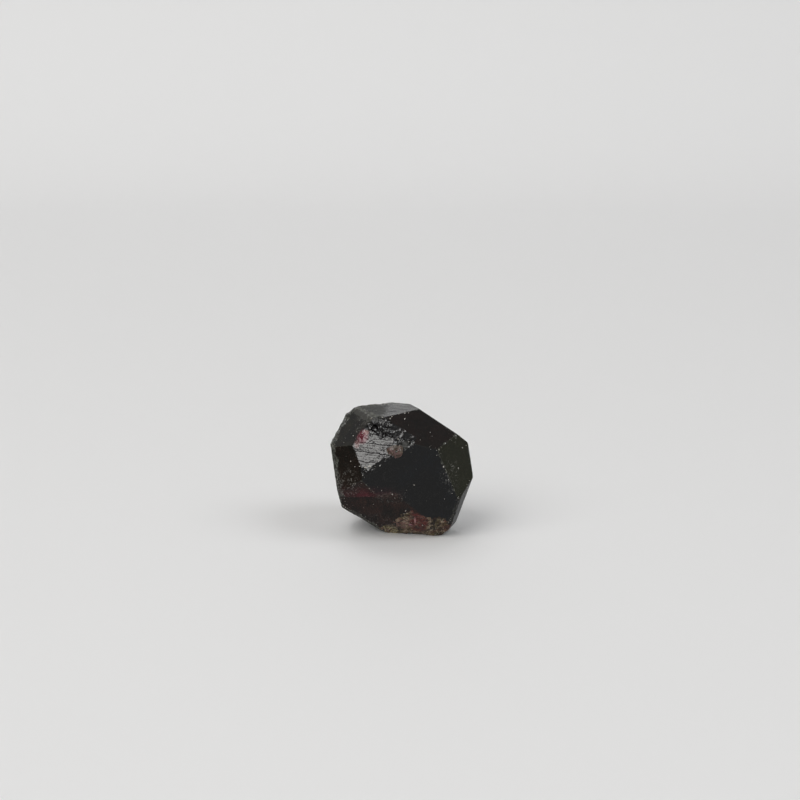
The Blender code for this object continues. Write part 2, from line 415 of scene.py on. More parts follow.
@dataclass
class GrownForm:
    """The trapezohedron: a block cut by every face, then by the wear of its edges."""

    block: float = 60.0
    corner_normal: Shares = (0.62, -0.2, -0.76)
    corner_distance: float = 11.65
    edge_wear: float = 0.016
    wear_seed: int = 5
    edges: list[CrystalEdge] = field(default_factory=list)

    def build(self) -> Piece:
        """Cuts the sharp form, keeps its edges for the chips, and wears them.

        Returns:
            The crystal's body.
        """
        body = added(bpy.ops.mesh.primitive_cube_add, size=self.block)
        body.name = body.data.name = "garnet"
        mark_zone(body, Zone.GROWN)
        with EditMode(body):
            for index, distance in FACES.items():
                self.cut(direction(index), distance)
            self.cut(Vector(self.corner_normal).normalized(), self.corner_distance)
        self.edges = self.read_edges(body)
        wear = random.Random(self.wear_seed)
        with EditMode(body):
            for edge in self.edges:
                self.wear(edge, wear)
            self.hold_inside()
        return body

    @staticmethod
    def cut(normal: Vector, distance: float) -> None:
        """Takes away what lies past one plane and closes the cut, in edit mode.

        Args:
            normal: The plane's unit normal.
            distance: The plane's distance from the centre.
        """
        bpy.ops.mesh.select_all(action="SELECT")
        bpy.ops.mesh.bisect(
            plane_co=normal * distance,
            plane_no=normal,
            use_fill=True,
            clear_outer=True,
            threshold=0.0001,
        )

    @staticmethod
    def read_edges(body: Piece) -> list[CrystalEdge]:
        """Reads every edge of the sharp form with the normals of its two faces.

        Args:
            body: The sharp form.

        Returns:
            The edges, apart from slivers.
        """
        mesh = body.data
        sides: dict[tuple[int, int], list[Vector]] = {}
        for polygon in mesh.polygons:
            for key in polygon.edge_keys:
                sides.setdefault(key, []).append(polygon.normal.copy())
        found = []
        for (a, b), normals in sorted(sides.items()):
            start, end = mesh.vertices[a].co.copy(), mesh.vertices[b].co.copy()
            if len(normals) == 2 and (end - start).length > 0.01:
                found.append(CrystalEdge(start, end, *normals))
        return found

    def wear(self, edge: CrystalEdge, draw: random.Random) -> None:
        """Takes one narrow flat that tapers along it off an edge.

        Args:
            edge: The edge to wear.
            draw: Source of the fixed random numbers.
        """
        depth = self.edge_wear * draw.uniform(0.8, 1.9)
        tilt = draw.uniform(-1.0, 1.0) * depth * 0.7 / edge.length
        normal = (edge.outward + edge.run * tilt).normalized()
        self.cut(normal, max(normal.dot(edge.start), normal.dot(edge.end)) - depth)

    @staticmethod
    def hold_inside() -> None:
        """Takes off, in edit mode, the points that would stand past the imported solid's box."""
        low, high = (corner / MM - SHIFT for corner in CAD_BOX)
        for axis in range(3):
            normal = Vector((0.0, 0.0, 0.0))
            normal[axis] = 1.0
            GrownForm.cut(normal, high[axis] - BOX_MARGIN)
            if axis < 2:
                GrownForm.cut(-normal, -low[axis] - BOX_MARGIN)


# --- Relief --------------------------------------------------------------------------------------


@dataclass
class Relief:
    """A cutter whose underside is a fine uneven surface over a plane of the crystal."""

    zone: Zone
    frame: FaceFrame
    columns: int
    rows: int
    surface: Callable[[float, int], Shares]
    roof: float = 4.0

    def tool(self) -> Piece:
        """Makes the cutter: a grid laid over the plane, set to the surface and pulled outward.

        Returns:
            The closed cutter.
        """
        tool = added(
            bpy.ops.mesh.primitive_grid_add,
            x_subdivisions=self.columns,
            y_subdivisions=self.rows,
            size=1.0,
        )
        tool.name = f"tool_{self.zone.value}"
        for vertex in tool.data.vertices:
            share = vertex.co.x + 0.5
            row = round((vertex.co.y + 0.5) * self.rows)
            vertex.co = self.frame.point(*self.surface(share, row))
        with EditMode(tool):
            bpy.ops.mesh.select_all(action="SELECT")
            bpy.ops.mesh.extrude_region_move(
                TRANSFORM_OT_translate={"value": self.frame.outward * self.roof}
            )
            bpy.ops.mesh.select_all(action="SELECT")
            bpy.ops.mesh.normals_make_consistent(inside=False)
        mark_zone(tool, self.zone)
        return tool


@dataclass(frozen=True)
class GrowthSteps:
    """Lines of growth steps: treads that lean back and narrow risers that face down."""

    span: tuple[float, float]
    count: int
    pitch: float
    rise: float
    wave: float
    wave_rate: float
    major_every: int
    major_rise: float
    seed: float
    phases: tuple[float, ...] = (0.0, 0.3, 0.62, 0.9, 0.96)
    fall: tuple[float, ...] = (0.5, 0.22, -0.12, -0.5, -0.7)

    @property
    def rows(self) -> int:
        """The number of grid rows that the steps need."""
        return self.count * len(self.phases)

    def line(self, u: float, step: int) -> float:
        """Returns where the lower edge of a step runs, at one place along it."""
        wave = grain(u * self.wave_rate, step * 3.7, self.seed) * self.wave
        wave += grain(u * self.wave_rate * 3.1, step * 5.3, self.seed + 9.0) * self.wave * 0.35
        return (step - self.count / 2) * self.pitch + wave

    def rise_at(self, u: float, step: int) -> float:
        """Returns how far a step stands out, at one place along it."""
        share = clamp(0.75 + 1.1 * grain(u * 0.7, step * 2.9, self.seed + 3.0), 0.12, 1.6)
        major = self.major_rise if step % self.major_every == 0 else 0.0
        return self.rise * share + major

    def at(self, share: float, row: int) -> Shares:
        """The steps alone.

        Args:
            share: Place along the steps, from 0 to 1.
            row: Row of the grid.

        Returns:
            The lengths along, across and out of the plane.
        """
        u = between(*self.span, share)
        step, phase = divmod(row, len(self.phases))
        v = between(self.line(u, step), self.line(u, step + 1), self.phases[phase])
        here, above = self.rise_at(u, step), self.rise_at(u, step + 1)
        fall = self.fall[phase]
        return u, v, fall * (here if fall > 0 else above)


@dataclass
class SteppedFace:
    """A face of the crystal that is cut into growth steps."""

    face: Index
    distance: float
    steps: GrowthSteps
    columns: int = 70
    # A point near the wanted middle, if it isn't straight out from the crystal's centre.
    middle: Shares | tuple[()] = ()
    zone: Zone = Zone.TERRACE

    def frame(self) -> FaceFrame:
        """Returns the plane of the face."""
        normal = direction(self.face)
        return FaceFrame.on_plane(normal, self.distance, self.middle or normal * self.distance)

    def surface(self, share: float, row: int) -> Shares:
        """Returns one point of the stepped face."""
        return self.steps.at(share, row)

    def relief(self) -> Relief:
        """Returns the cutter's description."""
        return Relief(self.zone, self.frame(), self.columns, self.steps.rows, self.surface)


@dataclass
class SteppedShoulder(SteppedFace):
    """The stepped face at the upper left, broken along its top and chipped at its right."""

    face: Index = (-1, 2, -1)
    distance: float = 10.15
    steps: GrowthSteps = GrowthSteps((-5.6, 5.2), 26, 0.36, 0.04, 0.17, 0.8, 4, 0.06, 2.0)
    columns: int = 190
    middle: Shares = (-3.3, -7.1, 6.5)
    zone: Zone = Zone.SHOULDER
    # Height of the lip that the broken part starts at, its rise to the left, and its depth.
    lip: float = 0.8
    lip_rise: float = 0.9
    broken_depth: float = 0.42
    # Where the bare part of the break and the chipped right end begin, along the steps.
    bare_from: float = 1.2
    chipped_from: float = 2.1
    # How far below the face every point stays.
    least_depth: float = 0.012

    def past_lip(self, u: float, v: float) -> float:
        """Returns how far one place is above the ragged lip."""
        ragged = 0.22 * grain(u * 1.3, v * 0.5, 17.0) + 0.12 * grain(u * 3.4, v, 18.0)
        return v + ragged - self.lip - self.lip_rise * clamp((-0.4 - u) / 1.2)

    def surface(self, share: float, row: int) -> Shares:
        """The steps, broken above the lip and chipped at the right end.

        Args:
            share: Place along the steps, from 0 to 1.
            row: Row of the grid.

        Returns:
            The lengths along, across and out of the plane.
        """
        u, v, lift = self.steps.at(share, row)
        lift += -0.1 + 0.1 * grain(u * 0.6, v * 0.8, 7.0)
        lift += 0.055 * grain(u * 1.7, v * 2.4, 19.0) + 0.05 * grain(u * 4.6, v * 6.0, 23.0)
        past = self.past_lip(u, v)
        broken = clamp(past / 0.3)
        if broken > 0.0:
            bare = clamp((u - self.bare_from) / 0.8)
            large, _ = shells(u, v * 1.3, 0.8, 0.8, 0.6, 3.0)
            small, _ = shells(u, v * 1.3, 0.34, 0.75, 0.6, 4.0)
            hollow = -self.broken_depth + 0.13 * past - 0.28 * max(u - self.bare_from, 0.0)
            uneven = 0.8 * large + 0.7 * small + 0.12 * grain(u * 1.4, v * 1.7, 11.0)
            hollow += (1.0 - 0.75 * bare) * uneven
            lift += (hollow - lift) * broken
        right = clamp((u - self.chipped_from) / 0.7) * (1.0 - broken)
        if right > 0.0:
            chipped, _ = shells(u, v * 1.2, 0.5, 0.85, 0.6, 5.0)
            lift += right * (0.95 * chipped - 0.34)
        return u, v, min(lift, -self.least_depth)


@dataclass
class LevelTop(SteppedFace):
    """The level top face with low growth steps, worn rough on its left."""

    face: Index = (1, 1, -2)
    distance: float = 9.95
    steps: GrowthSteps = GrowthSteps((-9.5, 9.5), 28, 0.41, 0.016, 0.2, 0.3, 4, 0.016, 21.0)
    columns: int = 120
    middle: Shares = (-0.5, 0.0, 9.9)
    zone: Zone = Zone.TOP
    worn_from: float = -1.6
    least_depth: float = 0.01

    def surface(self, share: float, row: int) -> Shares:
        """The low steps, worn into pits on the left.

        Args:
            share: Place along the steps, from 0 to 1.
            row: Row of the grid.

        Returns:
            The lengths along, across and out of the plane.
        """
        u, v, lift = self.steps.at(share, row)
        lift += -0.05 + 0.02 * grain(u * 0.5, v * 0.4, 4.0)
        worn = clamp((self.worn_from - u + 0.8 * grain(u * 0.8, v * 0.8, 29.0)) / 1.5)
        if worn > 0.0:
            pits, _ = shells(u, v, 0.55, 0.55, 0.5, 8.0)
            lift = lift * (1.0 - 0.7 * worn) + worn * (pits * 0.8 - 0.05)
        return u, v, min(lift, -self.least_depth)


@dataclass
class Terrace(SteppedFace):
    """Low growth steps that come and go over a face at the back."""

    threshold: float = 0.0
    least_depth: float = 0.008

    def surface(self, share: float, row: int) -> Shares:
        """The steps, faded in and out in large patches.

        Args:
            share: Place along the steps, from 0 to 1.
            row: Row of the grid.

        Returns:
            The lengths along, across and out of the plane.
        """
        u, v, lift = self.steps.at(share, row)
        seed = self.steps.seed
        drift = grain(u * 0.22, v * 0.22, seed + 6.0) + 0.3 * grain(u * 0.9, v * 0.9, seed + 7.0)
        shown = clamp((drift - self.threshold) / 0.25)
        return u, v, min(lift * (0.08 + shown) - 0.035, -self.least_depth)


TERRACES = tuple(
    Terrace(face, distance, GrowthSteps(span, count, pitch, *heights), threshold=threshold)
    for face, distance, span, count, pitch, heights, threshold in (
        ((2, -1, -1), 6.7, (-9.0, 9.0), 30, 0.6, (0.05, 0.25, 0.35, 4, 0.06, 61.0), 0.0),
        ((-2, -1, -1), 9.9, (-7.0, 7.0), 26, 0.5, (0.04, 0.2, 0.4, 5, 0.06, 67.0), 0.0),
        ((1, -2, -1), 9.1, (-6.5, 6.5), 26, 0.5, (0.04, 0.2, 0.4, 4, 0.05, 73.0), -0.1),
        ((-1, -2, 1), 9.9, (-6.5, 6.5), 26, 0.5, (0.04, 0.2, 0.4, 4, 0.05, 79.0), 0.0),
    )
)


@dataclass
class Break:
    """A shell-like break across one corner of the crystal."""

    zone: Zone
    normal: Shares
    distance: float
    middle: Shares
    spans: tuple[tuple[float, float], tuple[float, float]]
    columns: int
    rows: int
    rough: float = 0.34
    dish: float = 1.0
    # Places along the break where it is raised or lowered: place, width and lift.
    swells: tuple[Shares, ...] = ()
    # Cell, slope, bowl and seed of the large and of the small hollows, and their ridges' widths.
    large: tuple[float, float, float, float] = (0.78, 0.55, 0.5, 12.0)
    small: tuple[float, float, float, float] = (0.33, 0.5, 0.5, 14.0)
    ridge_widths: tuple[float, float] = (0.075, 0.03)

    def frame(self) -> FaceFrame:
        """Returns the mean plane of the break."""
        return FaceFrame.on_plane(Vector(self.normal).normalized(), self.distance, self.middle)

    @staticmethod
    def drawn(u: float, v: float) -> tuple[float, float]:
        """Returns one place in the turned, stretched axes that the break's ripples follow."""
        bend = 0.45 * grain(u * 0.5, v * 0.5, 33.0)
        return (u * 0.83 + v * 0.56) * 0.72 + bend, (v * 0.83 - u * 0.56) * 1.5 + bend

    def ridge(self, u: float, v: float) -> float:
        """Returns how close one place is to a sharp ridge, from 0 to 1."""
        p, q = self.drawn(u, v)
        gaps = shells(p, q, *self.large)[1], shells(p, q, *self.small)[1]
        wide, fine = (clamp(1.0 - gap / width) for gap, width in zip(gaps, self.ridge_widths))
        return max(wide, 0.7 * fine)

    def surface(self, share: float, row: int) -> Shares:
        """The break's broad swells with shell-like hollows.

        Args:
            share: Place along the break, from 0 to 1.
            row: Row of the grid.

        Returns:
            The lengths along, across and out of the plane.
        """
        (u_low, u_high), (v_low, v_high) = self.spans
        u = between(u_low, u_high, share)
        v = v_low + (v_high - v_low) * row / self.rows
        form = grain(u * 0.55, v * 0.7, 31.0) + 0.55 * grain(u * 1.35, v * 1.5, 37.0)
        p, q = self.drawn(u, v)
        large, _ = shells(p, q, *self.large)
        small, _ = shells(p, q, *self.small)
        swell = sum(
            lift * math.exp(-(((u - at) / width) ** 2)) for at, width, lift in self.swells
        )
        hollows = (0.7 * large + 0.5 * small + 0.07) * self.dish
        return u, v, form * self.rough + hollows + swell

    def relief(self) -> Relief:
        """Returns the cutter's description."""
        return Relief(self.zone, self.frame(), self.columns, self.rows, self.surface)


FOOT = Break(
    Zone.FOOT, (0.148, -0.838, -0.524), 8.48, (2.5, -5.2, -7.2), ((-8.0, 9.0), (-4.5, 4.5)),
    200, 104, rough=0.22, swells=((4.6, 2.6, 0.34),),
)
FLAP = Break(
    Zone.FLAP, (-0.17, -0.80, -0.575), 7.56, (1.6, -5.2, -6.9), ((-5.0, 5.0), (-4.5, 4.5)),
    118, 104, rough=0.08, dish=0.45, swells=((0.0, 1.9, -0.16),),
)
TAIL = Break(
    Zone.TAIL, (-0.12, -0.62, -0.775), 8.8, (-1.0, -3.0, -8.9), ((-6.0, 5.0), (-3.0, 3.0)), 120, 66
)
BREAKS = {part.zone: part for part in (FOOT, FLAP, TAIL)}


@dataclass(frozen=True)
class RoughEdge:
    """A crystal edge worn to a rough, splintered strip."""

    first: Index
    second: Index
    depth: float
    lean: float = 0.5
    cell: float = 0.4
    rough: float = 0.6
    # Where the edge runs, if a later cut has moved it.
    ends: tuple[Shares, ...] = ()
    zone: Zone = Zone.RIM
    rows: int = 22
    column: float = 0.13
    half_height: float = 1.5
    # How far the cutter reaches past each end of the edge.
    spare: float = 0.8

    def relief(self, edges: list[CrystalEdge]) -> Relief:
        """Returns the cutter's description.

        Args:
            edges: The edges of the sharp form.

        Returns:
            The relief that wears this edge.
        """
        normals = direction(self.first), direction(self.second)
        normal = (normals[0] * (1.0 - self.lean) + normals[1] * self.lean).normalized()
        points = edge_points(edges, self.first, self.second)
        if self.ends:
            run = normals[0].cross(normals[1]).normalized()
            points = sorted((Vector(end) for end in self.ends), key=run.dot)
        run = (points[-1] - points[0]).normalized()
        normal = (normal - run * normal.dot(run)).normalized()
        middle = (points[0] + points[-1]) / 2
        half = (points[-1] - points[0]).length / 2 + self.spare
        reach = max(normal.dot(point) for point in points) - self.depth
        centre = middle + normal * (reach - normal.dot(middle))
        plane = FaceFrame(centre, run, normal.cross(run).normalized(), normal)
        seed = 40.0 + 3.0 * sum(self.first) + 5.0 * sum(self.second) + self.depth * 10.0

        def surface(share: float, row: int) -> Shares:
            """Returns one point of the worn strip."""
            u = half * (2.0 * share - 1.0)
            v = self.half_height * (2.0 * row / self.rows - 1.0)
            hollows, _ = shells(u, v * 1.6, self.cell, self.rough, 0.6, seed)
            drift = grain(u * 0.5, v * 0.5, seed) * 0.6
            drift += grain(u * 1.6, v * 1.2, seed + 1.0) * 0.5
            return u, v, hollows * 0.8 + drift * min(self.depth, 0.25)

        columns = max(int(half * 2 / self.column), 20)
        return Relief(self.zone, plane, columns, self.rows, surface)


ROUGH_EDGES = (
    RoughEdge((-2, 1, -1), (-2, -1, -1), 0.34, lean=0.35),
    RoughEdge((-1, 1, -2), (-1, -1, -2), 0.34, lean=0.35, cell=0.5),
    RoughEdge((-1, 1, -2), (1, -1, -2), 0.3, cell=0.5),
    RoughEdge((-1, 1, -2), (1, 1, -2), 0.2, cell=0.45),
    RoughEdge((-1, 2, -1), (1, 1, -2), 0.12, cell=0.4),
    RoughEdge(
        (-2, 1, 1), (-2, -1, 1), 0.2, lean=0.35, ends=((-9.3, -3.2, -5.1), (-2.6, -2.2, -9.6))
    ),
    RoughEdge((-2, 1, 1), (-2, -1, -1), 0.26, ends=((-9.8, -4.9, -2.2), (-9.3, -3.3, -5.0))),
    RoughEdge(
        (-1, 2, 1), (-1, 2, -1), 0.2, lean=0.35, cell=0.7, rough=0.2, zone=Zone.BEVEL
    ),
    RoughEdge(
        (-1, 2, 1), (1, 1, 2), 0.12, lean=0.8, cell=0.9, rough=0.12,
        ends=((10.3, -6.2, 1.9), (7.05, -5.04, -7.17)), zone=Zone.BEVEL,
    ),
)


@dataclass
class Ledge:
    """The ledge across the lower left face, below which the face stands back."""

    face: Index = (-2, 1, 1)
    swing: float = 0.07
    distance: float = 7.28
    height: float = -1.11
    slope: float = 0.19

    def tool(self) -> Piece:
        """Makes the cutter: a block bounded by the set-back face and the ledge above it.

        Returns:
            The closed cutter.
        """
        normal = (direction(self.face) + Vector((self.swing, 0.0, 0.0))).normalized()
        roof = Vector((-self.slope, 0.0, 1.0))
        tool = added(bpy.ops.mesh.primitive_cube_add, size=GrownForm.block)
        with EditMode(tool):
            GrownForm.cut(-normal, -self.distance)
            GrownForm.cut(roof.normalized(), self.height / roof.length)
        mark_zone(tool, Zone.LEDGE)
        return tool


@dataclass
class Chips:
    """Shell-shaped chips: the large ones in their places, and small ones along every edge."""

    large: tuple[tuple[Index, Index, float, float, float], ...] = (
        ((-1, 2, -1), (-1, 1, -2), 0.08, 1.5, 0.4),
        ((-1, 2, -1), (-1, 1, -2), 0.45, 1.4, 0.42),
        ((-1, 2, -1), (-1, 1, -2), 0.78, 1.3, 0.36),
        ((-1, 2, -1), (-2, 1, -1), 0.95, 1.1, 0.36),
        ((-1, 1, -2), (1, 1, -2), 0.3, 1.4, 0.2),
        ((-1, 1, -2), (1, 1, -2), 0.75, 1.0, 0.16),
        ((-1, 1, -2), (-1, -1, -2), 0.35, 1.0, 0.15),
        ((-2, 1, -1), (-2, -1, -1), 0.3, 0.9, 0.12),
        ((-2, 1, -1), (-2, -1, -1), 0.72, 0.8, 0.12),
        ((1, 2, 1), (-1, 2, 1), 0.42, 0.8, 0.1),
        ((1, 1, 2), (-1, 2, 1), 0.5, 0.8, 0.12),
        ((1, 2, -1), (1, 2, 1), 0.9, 0.8, 0.1),
        ((2, 1, 1), (1, 2, 1), 0.25, 0.8, 0.1),
        ((1, -2, 1), (2, -1, 1), 0.6, 1.6, 0.3),
        ((2, -1, -1), (2, -1, 1), 0.35, 1.3, 0.2),
        ((1, -1, -2), (-1, -1, -2), 0.5, 1.2, 0.2),
        ((-1, -2, -1), (-2, -1, -1), 0.6, 1.1, 0.16),
        ((-2, -1, 1), (-1, -2, 1), 0.4, 1.2, 0.18),
    )
    pit: tuple[Shares, float, float] = ((-4.2, -5.9, 8.3), 0.6, 0.85)
    per_mm: float = 0.8
    # How many of the large chips, from the first, are splintered scars.
    scars: int = 4
    seed: int = 11

    @staticmethod
    def ball(
        place: Vector, outward: Vector, run: Vector, radii: Shares, depth: float, fine: int
    ) -> Piece:
        """Places one rounded cutter over the surface.

        Args:
            place: Point on the surface.
            outward: Direction out of the crystal there.
            run: Direction of the cutter's length.
            radii: Half its length, width and height.
            depth: How deep it reaches.
            fine: How finely it is divided.

        Returns:
            The cutter, still turned and scaled.
        """
        side = outward.cross(run).normalized()
        run = side.cross(outward).normalized()
        turn = Matrix((run, side, outward)).transposed()
        return added(
            bpy.ops.mesh.primitive_ico_sphere_add,
            subdivisions=fine,
            radius=1.0,
            location=place + outward * (radii[2] - depth),
            rotation=turn.to_euler(),
            scale=radii,
        )

    @staticmethod
    def join(tools: list[Piece], zone: Zone, uneven: float, rate: float) -> Piece:
        """Joins cutters into one and makes their skins uneven.

        Args:
            tools: The cutters.
            zone: The zone that their cuts belong to.
            uneven: How uneven the skins are, in millimetres.
            rate: How finely uneven they are.

        Returns:
            The joined cutter.
        """
        joined = join_all(tools)
        for vertex in joined.data.vertices:
            vertex.co += noise.noise_vector(vertex.co * rate) * uneven
        mark_zone(joined, zone)
        return joined

    def large_tools(self, form: GrownForm) -> list[Piece]:
        """Makes the cutters for the large chips: the splintered scars, and the smooth ones.

        Args:
            form: The grown form, which knows its edges.

        Returns:
            Each scar's cutter, and one for all the smooth chips.
        """
        tools = []
        for first, second, share, radius, depth in self.large:
            normals = direction(first), direction(second)
            run = normals[0].cross(normals[1])
            ends = edge_points(form.edges, first, second)
            outward = (normals[0] + normals[1]).normalized()
            place = ends[0].lerp(ends[-1], share)
            scar = len(tools) < self.scars
            ball = self.ball(place, outward, run, (radius,) * 3, depth, 5 if scar else 4)
            if scar:
                self.join([ball], Zone.SCAR, 0.11, 2.3)
                self.splinter(ball)
            tools.append(ball)
        return tools[: self.scars] + [self.join(tools[self.scars :], Zone.CHIP, 0.07, 1.6)]

    @staticmethod
    def splinter(scar: Piece) -> None:
        """Breaks a cutter's skin up into small sharp hollows.

        Args:
            scar: The cutter, unturned and unscaled.
        """
        outward = direction((-1, 2, -1))
        for vertex in scar.data.vertices:
            at = vertex.co
            u, v = at.x * 1.2 + at.z * 0.4, at.z * 1.2 - at.y * 0.5
            hollows, _ = shells(u, v, 0.42, 0.6, 0.6, 51.0)
            vertex.co += noise.noise_vector(at * 6.0) * 0.035 + outward * hollows * 0.8

    def small_tools(self, form: GrownForm) -> list[Piece]:
        """Makes the cutters for the small chips along the edges.

        Args:
            form: The grown form, which knows its edges.

        Returns:
            Several joined cutters, in each of which no two chips touch.
        """
        draw = random.Random(self.seed)
        sets: list[list[tuple[Vector, float, Piece]]] = []
        for edge in form.edges:
            worn = any(edge.touches(rough.first, rough.second) for rough in ROUGH_EDGES)
            count = int(edge.length * self.per_mm * (0.5 if worn else 1.0) + draw.random())
            for _ in range(count):
                place = edge.start.lerp(edge.end, draw.random())
                lean = draw.uniform(-0.75, 0.75)
                outward = (edge.outward + (edge.first - edge.second) * lean).normalized()
                size = 0.13 + 0.42 * draw.random() ** 2.6
                radii = (size * draw.uniform(1.0, 1.9), size, size * draw.uniform(0.7, 1.1))
                depth = size * draw.uniform(0.1, 0.26)
                ball = self.ball(place, outward, edge.run, radii, depth, 2)
                middle, reach = ball.location.copy(), max(radii) + 0.06
                for chosen in (*sets, []):
                    if all((middle - at).length > reach + far for at, far, _ in chosen):
                        break
                if not chosen:
                    sets.append(chosen)
                chosen.append((middle, reach, ball))
        log.info("small chips: %s", [len(one) for one in sets])
        return [self.join([ball for _, _, ball in one], Zone.CHIP, 0.035, 4.0) for one in sets]

    def pit_tool(self, shoulder: SteppedShoulder) -> Piece:
        """Makes the cutter for the dark pit in the shoulder.

        Args:
            shoulder: The shoulder.

        Returns:
            The closed cutter.
        """
        centre, radius, depth = self.pit
        outward, run = direction(shoulder.face), direction(CrystalAxes.steps)
        ball = self.ball(Vector(centre), outward, run, (radius,) * 3, depth, 3)
        return self.join([ball], Zone.PIT, 0.06, 2.5)


@dataclass
class Lump:
    """The rounded remnant at the lower right end of the shoulder."""

    centre: Shares = (-0.91, -8.19, 5.36)
    radii: Shares = (1.3, 0.7, 0.95)

    def tool(self) -> Piece:
        """Makes the remnant: a ball swollen unevenly, with a shell-like skin.

        Returns:
            The closed remnant.
        """
        lump = added(bpy.ops.mesh.primitive_ico_sphere_add, subdivisions=5, radius=1.0)
        for vertex in lump.data.vertices:
            at = vertex.co.copy()
            uneven = 1.0 + 0.16 * noise.noise(at * 1.7)
            u, v = at.x * self.radii[0], at.z * self.radii[2]
            dents, _ = shells(u, v, 0.4, 0.6, 0.6, 16.0)
            uneven += 0.6 * dents + 0.05 * noise.noise(at * 6.0)
            size = Vector(self.radii)
            vertex.co = Vector(self.centre) + Vector(at * size * uneven)
        mark_zone(lump, Zone.LUMP)
        return lump


# --- Reading the zones ---------------------------------------------------------------------------


@dataclass(frozen=True)
class Tint:
    """How much of each tint a clean face shows; the bluish one is a painted reflection."""

    red: float = 0.0
    cool_reflection: float = 0.0
    olive: float = 0.0


FACE_TINTS: dict[Index, Tint] = {
    # The bluish tint of this face is a painted reflection.
    (-1, 2, 1): Tint(cool_reflection=1.0),
    (1, 2, -1): Tint(red=0.2),
    (1, 2, 1): Tint(olive=0.5),
    (-2, 1, 1): Tint(red=1.0),
    (-1, 1, -2): Tint(red=0.1, olive=1.0),
    (-2, 1, -1): Tint(red=0.25),
}
# What a clean face that isn't named above shows.
PLAIN_TINT = Tint(red=0.15, olive=0.3)
# Faces whose far edges are worn in strips.
STRIP_FACES: tuple[Index, ...] = ((-2, 1, 1), (-1, 1, -2), (-2, 1, -1))

Wear = tuple[float, float, float, float]
# The wear attribute's channels: broken, in reach of the strips, dusty, and rough.
# On a break the second one is the ridges instead.
UNWORN: Wear = (0.0, 0.0, 0.0, 0.0)
STRIPPED: Wear = (0.0, 1.0, 0.0, 0.0)
WORN_EDGE: Wear = (0.0, 0.0, 0.3, 0.0)
CHIPPED: Wear = (0.0, 0.0, 0.6, 0.0)
ROUGH: Wear = (0.0, 0.0, 0.0, 1.0)
ZONE_WEAR: dict[Zone, Wear] = {
    **{zone: (1.0, 0.0, 0.0, 0.0) for zone in BREAKS},
    Zone.CHIP: CHIPPED,
    Zone.RIM: CHIPPED,
    Zone.SCAR: ROUGH,
    Zone.SHOULDER: ROUGH,
    Zone.PIT: ROUGH,
    Zone.TERRACE: (0.0, 0.0, 0.0, 0.25),
    Zone.TOP: (0.0, 1.0, 0.0, 1.0),
    Zone.LEDGE: STRIPPED,
}
ZONE_TINTS: dict[Zone, Tint] = {Zone.TERRACE: PLAIN_TINT, Zone.LEDGE: Tint(red=1.0)}
SHARP_ANGLE_DEG = 32.0


@dataclass
class SurfaceMarks:
    """Writes what each face is into two colour attributes, for the finish to read."""

    normals: dict[Index, Vector] = field(
        default_factory=lambda: {index: direction(index) for index in FACES}
    )

    def read_face(self, zone: Zone, normal: Vector) -> tuple[Wear, Tint]:
        """Reads what one face is.

        Args:
            zone: The face's zone.
            normal: The face's unit normal.

        Returns:
            Its wear and its tint.
        """
        if zone is not Zone.GROWN:
            return ZONE_WEAR.get(zone, UNWORN), ZONE_TINTS.get(zone, Tint())
        index = max(self.normals, key=lambda key: self.normals[key].dot(normal))
        if self.normals[index].dot(normal) <= SAME_CLEAN_FACE:
            return WORN_EDGE, Tint()
        wear = STRIPPED if index in STRIP_FACES else UNWORN
        return wear, FACE_TINTS.get(index, PLAIN_TINT)

    def write(self, body: Piece) -> None:
        """Writes the attributes and sets which faces are smooth.

        Args:
            body: The crystal, in millimetres, with its zones as materials.
        """
        mesh = body.data
        zones = [Zone(slot.name) for slot in mesh.materials]
        wears = mesh.attributes.new("wear", "FLOAT_COLOR", "CORNER")
        tints = mesh.attributes.new("tint", "FLOAT_COLOR", "CORNER")
        planes = {zone: part.frame() for zone, part in BREAKS.items()}
        kinds = []
        for polygon in mesh.polygons:
            zone = zones[polygon.material_index]
            wear, tint = self.read_face(zone, polygon.normal)
            remnant = 1.0 if zone is Zone.LUMP else 0.0
            for corner in polygon.loop_indices:
                if zone in BREAKS:
                    point = mesh.vertices[mesh.loops[corner].vertex_index].co
                    u, v, _ = planes[zone].lengths(point)
                    wear = (wear[0], BREAKS[zone].ridge(u, v), *wear[2:])
                wears.data[corner].color = wear
                tints.data[corner].color = (tint.red, tint.cool_reflection, tint.olive, remnant)
            kinds.append((zone, wear == WORN_EDGE))
        log.info("faces by zone: %s", Counter(zone.value for zone, _ in kinds))
        self.smooth(body, kinds)

    @staticmethod
    def smooth(body: Piece, kinds: list[tuple[Zone, bool]]) -> None:
        """Smooths the relief and keeps the clean faces and all boundaries sharp.

        Args:
            body: The crystal.
            kinds: For each face, its zone and whether it is a worn edge.
        """
        mesh = body.data
        flat = (Zone.GROWN, Zone.LEDGE)
        mesh.polygons.foreach_set("use_smooth", [zone not in flat for zone, _ in kinds])
        pairs: dict[tuple[int, int], list[int]] = {}
        for polygon in mesh.polygons:
            for key in polygon.edge_keys:
                pairs.setdefault(key, []).append(polygon.index)
        sharp_below = math.cos(math.radians(SHARP_ANGLE_DEG))
        for edge in mesh.edges:
            faces = pairs.get(edge.key, [])
            if len(faces) != 2:
                edge.use_edge_sharp = True
                continue
            a, b = faces
            turned = mesh.polygons[a].normal.dot(mesh.polygons[b].normal) < sharp_below
            edge.use_edge_sharp = turned or kinds[a] != kinds[b]


# --- Finishes ------------------------------------------------------------------------------------


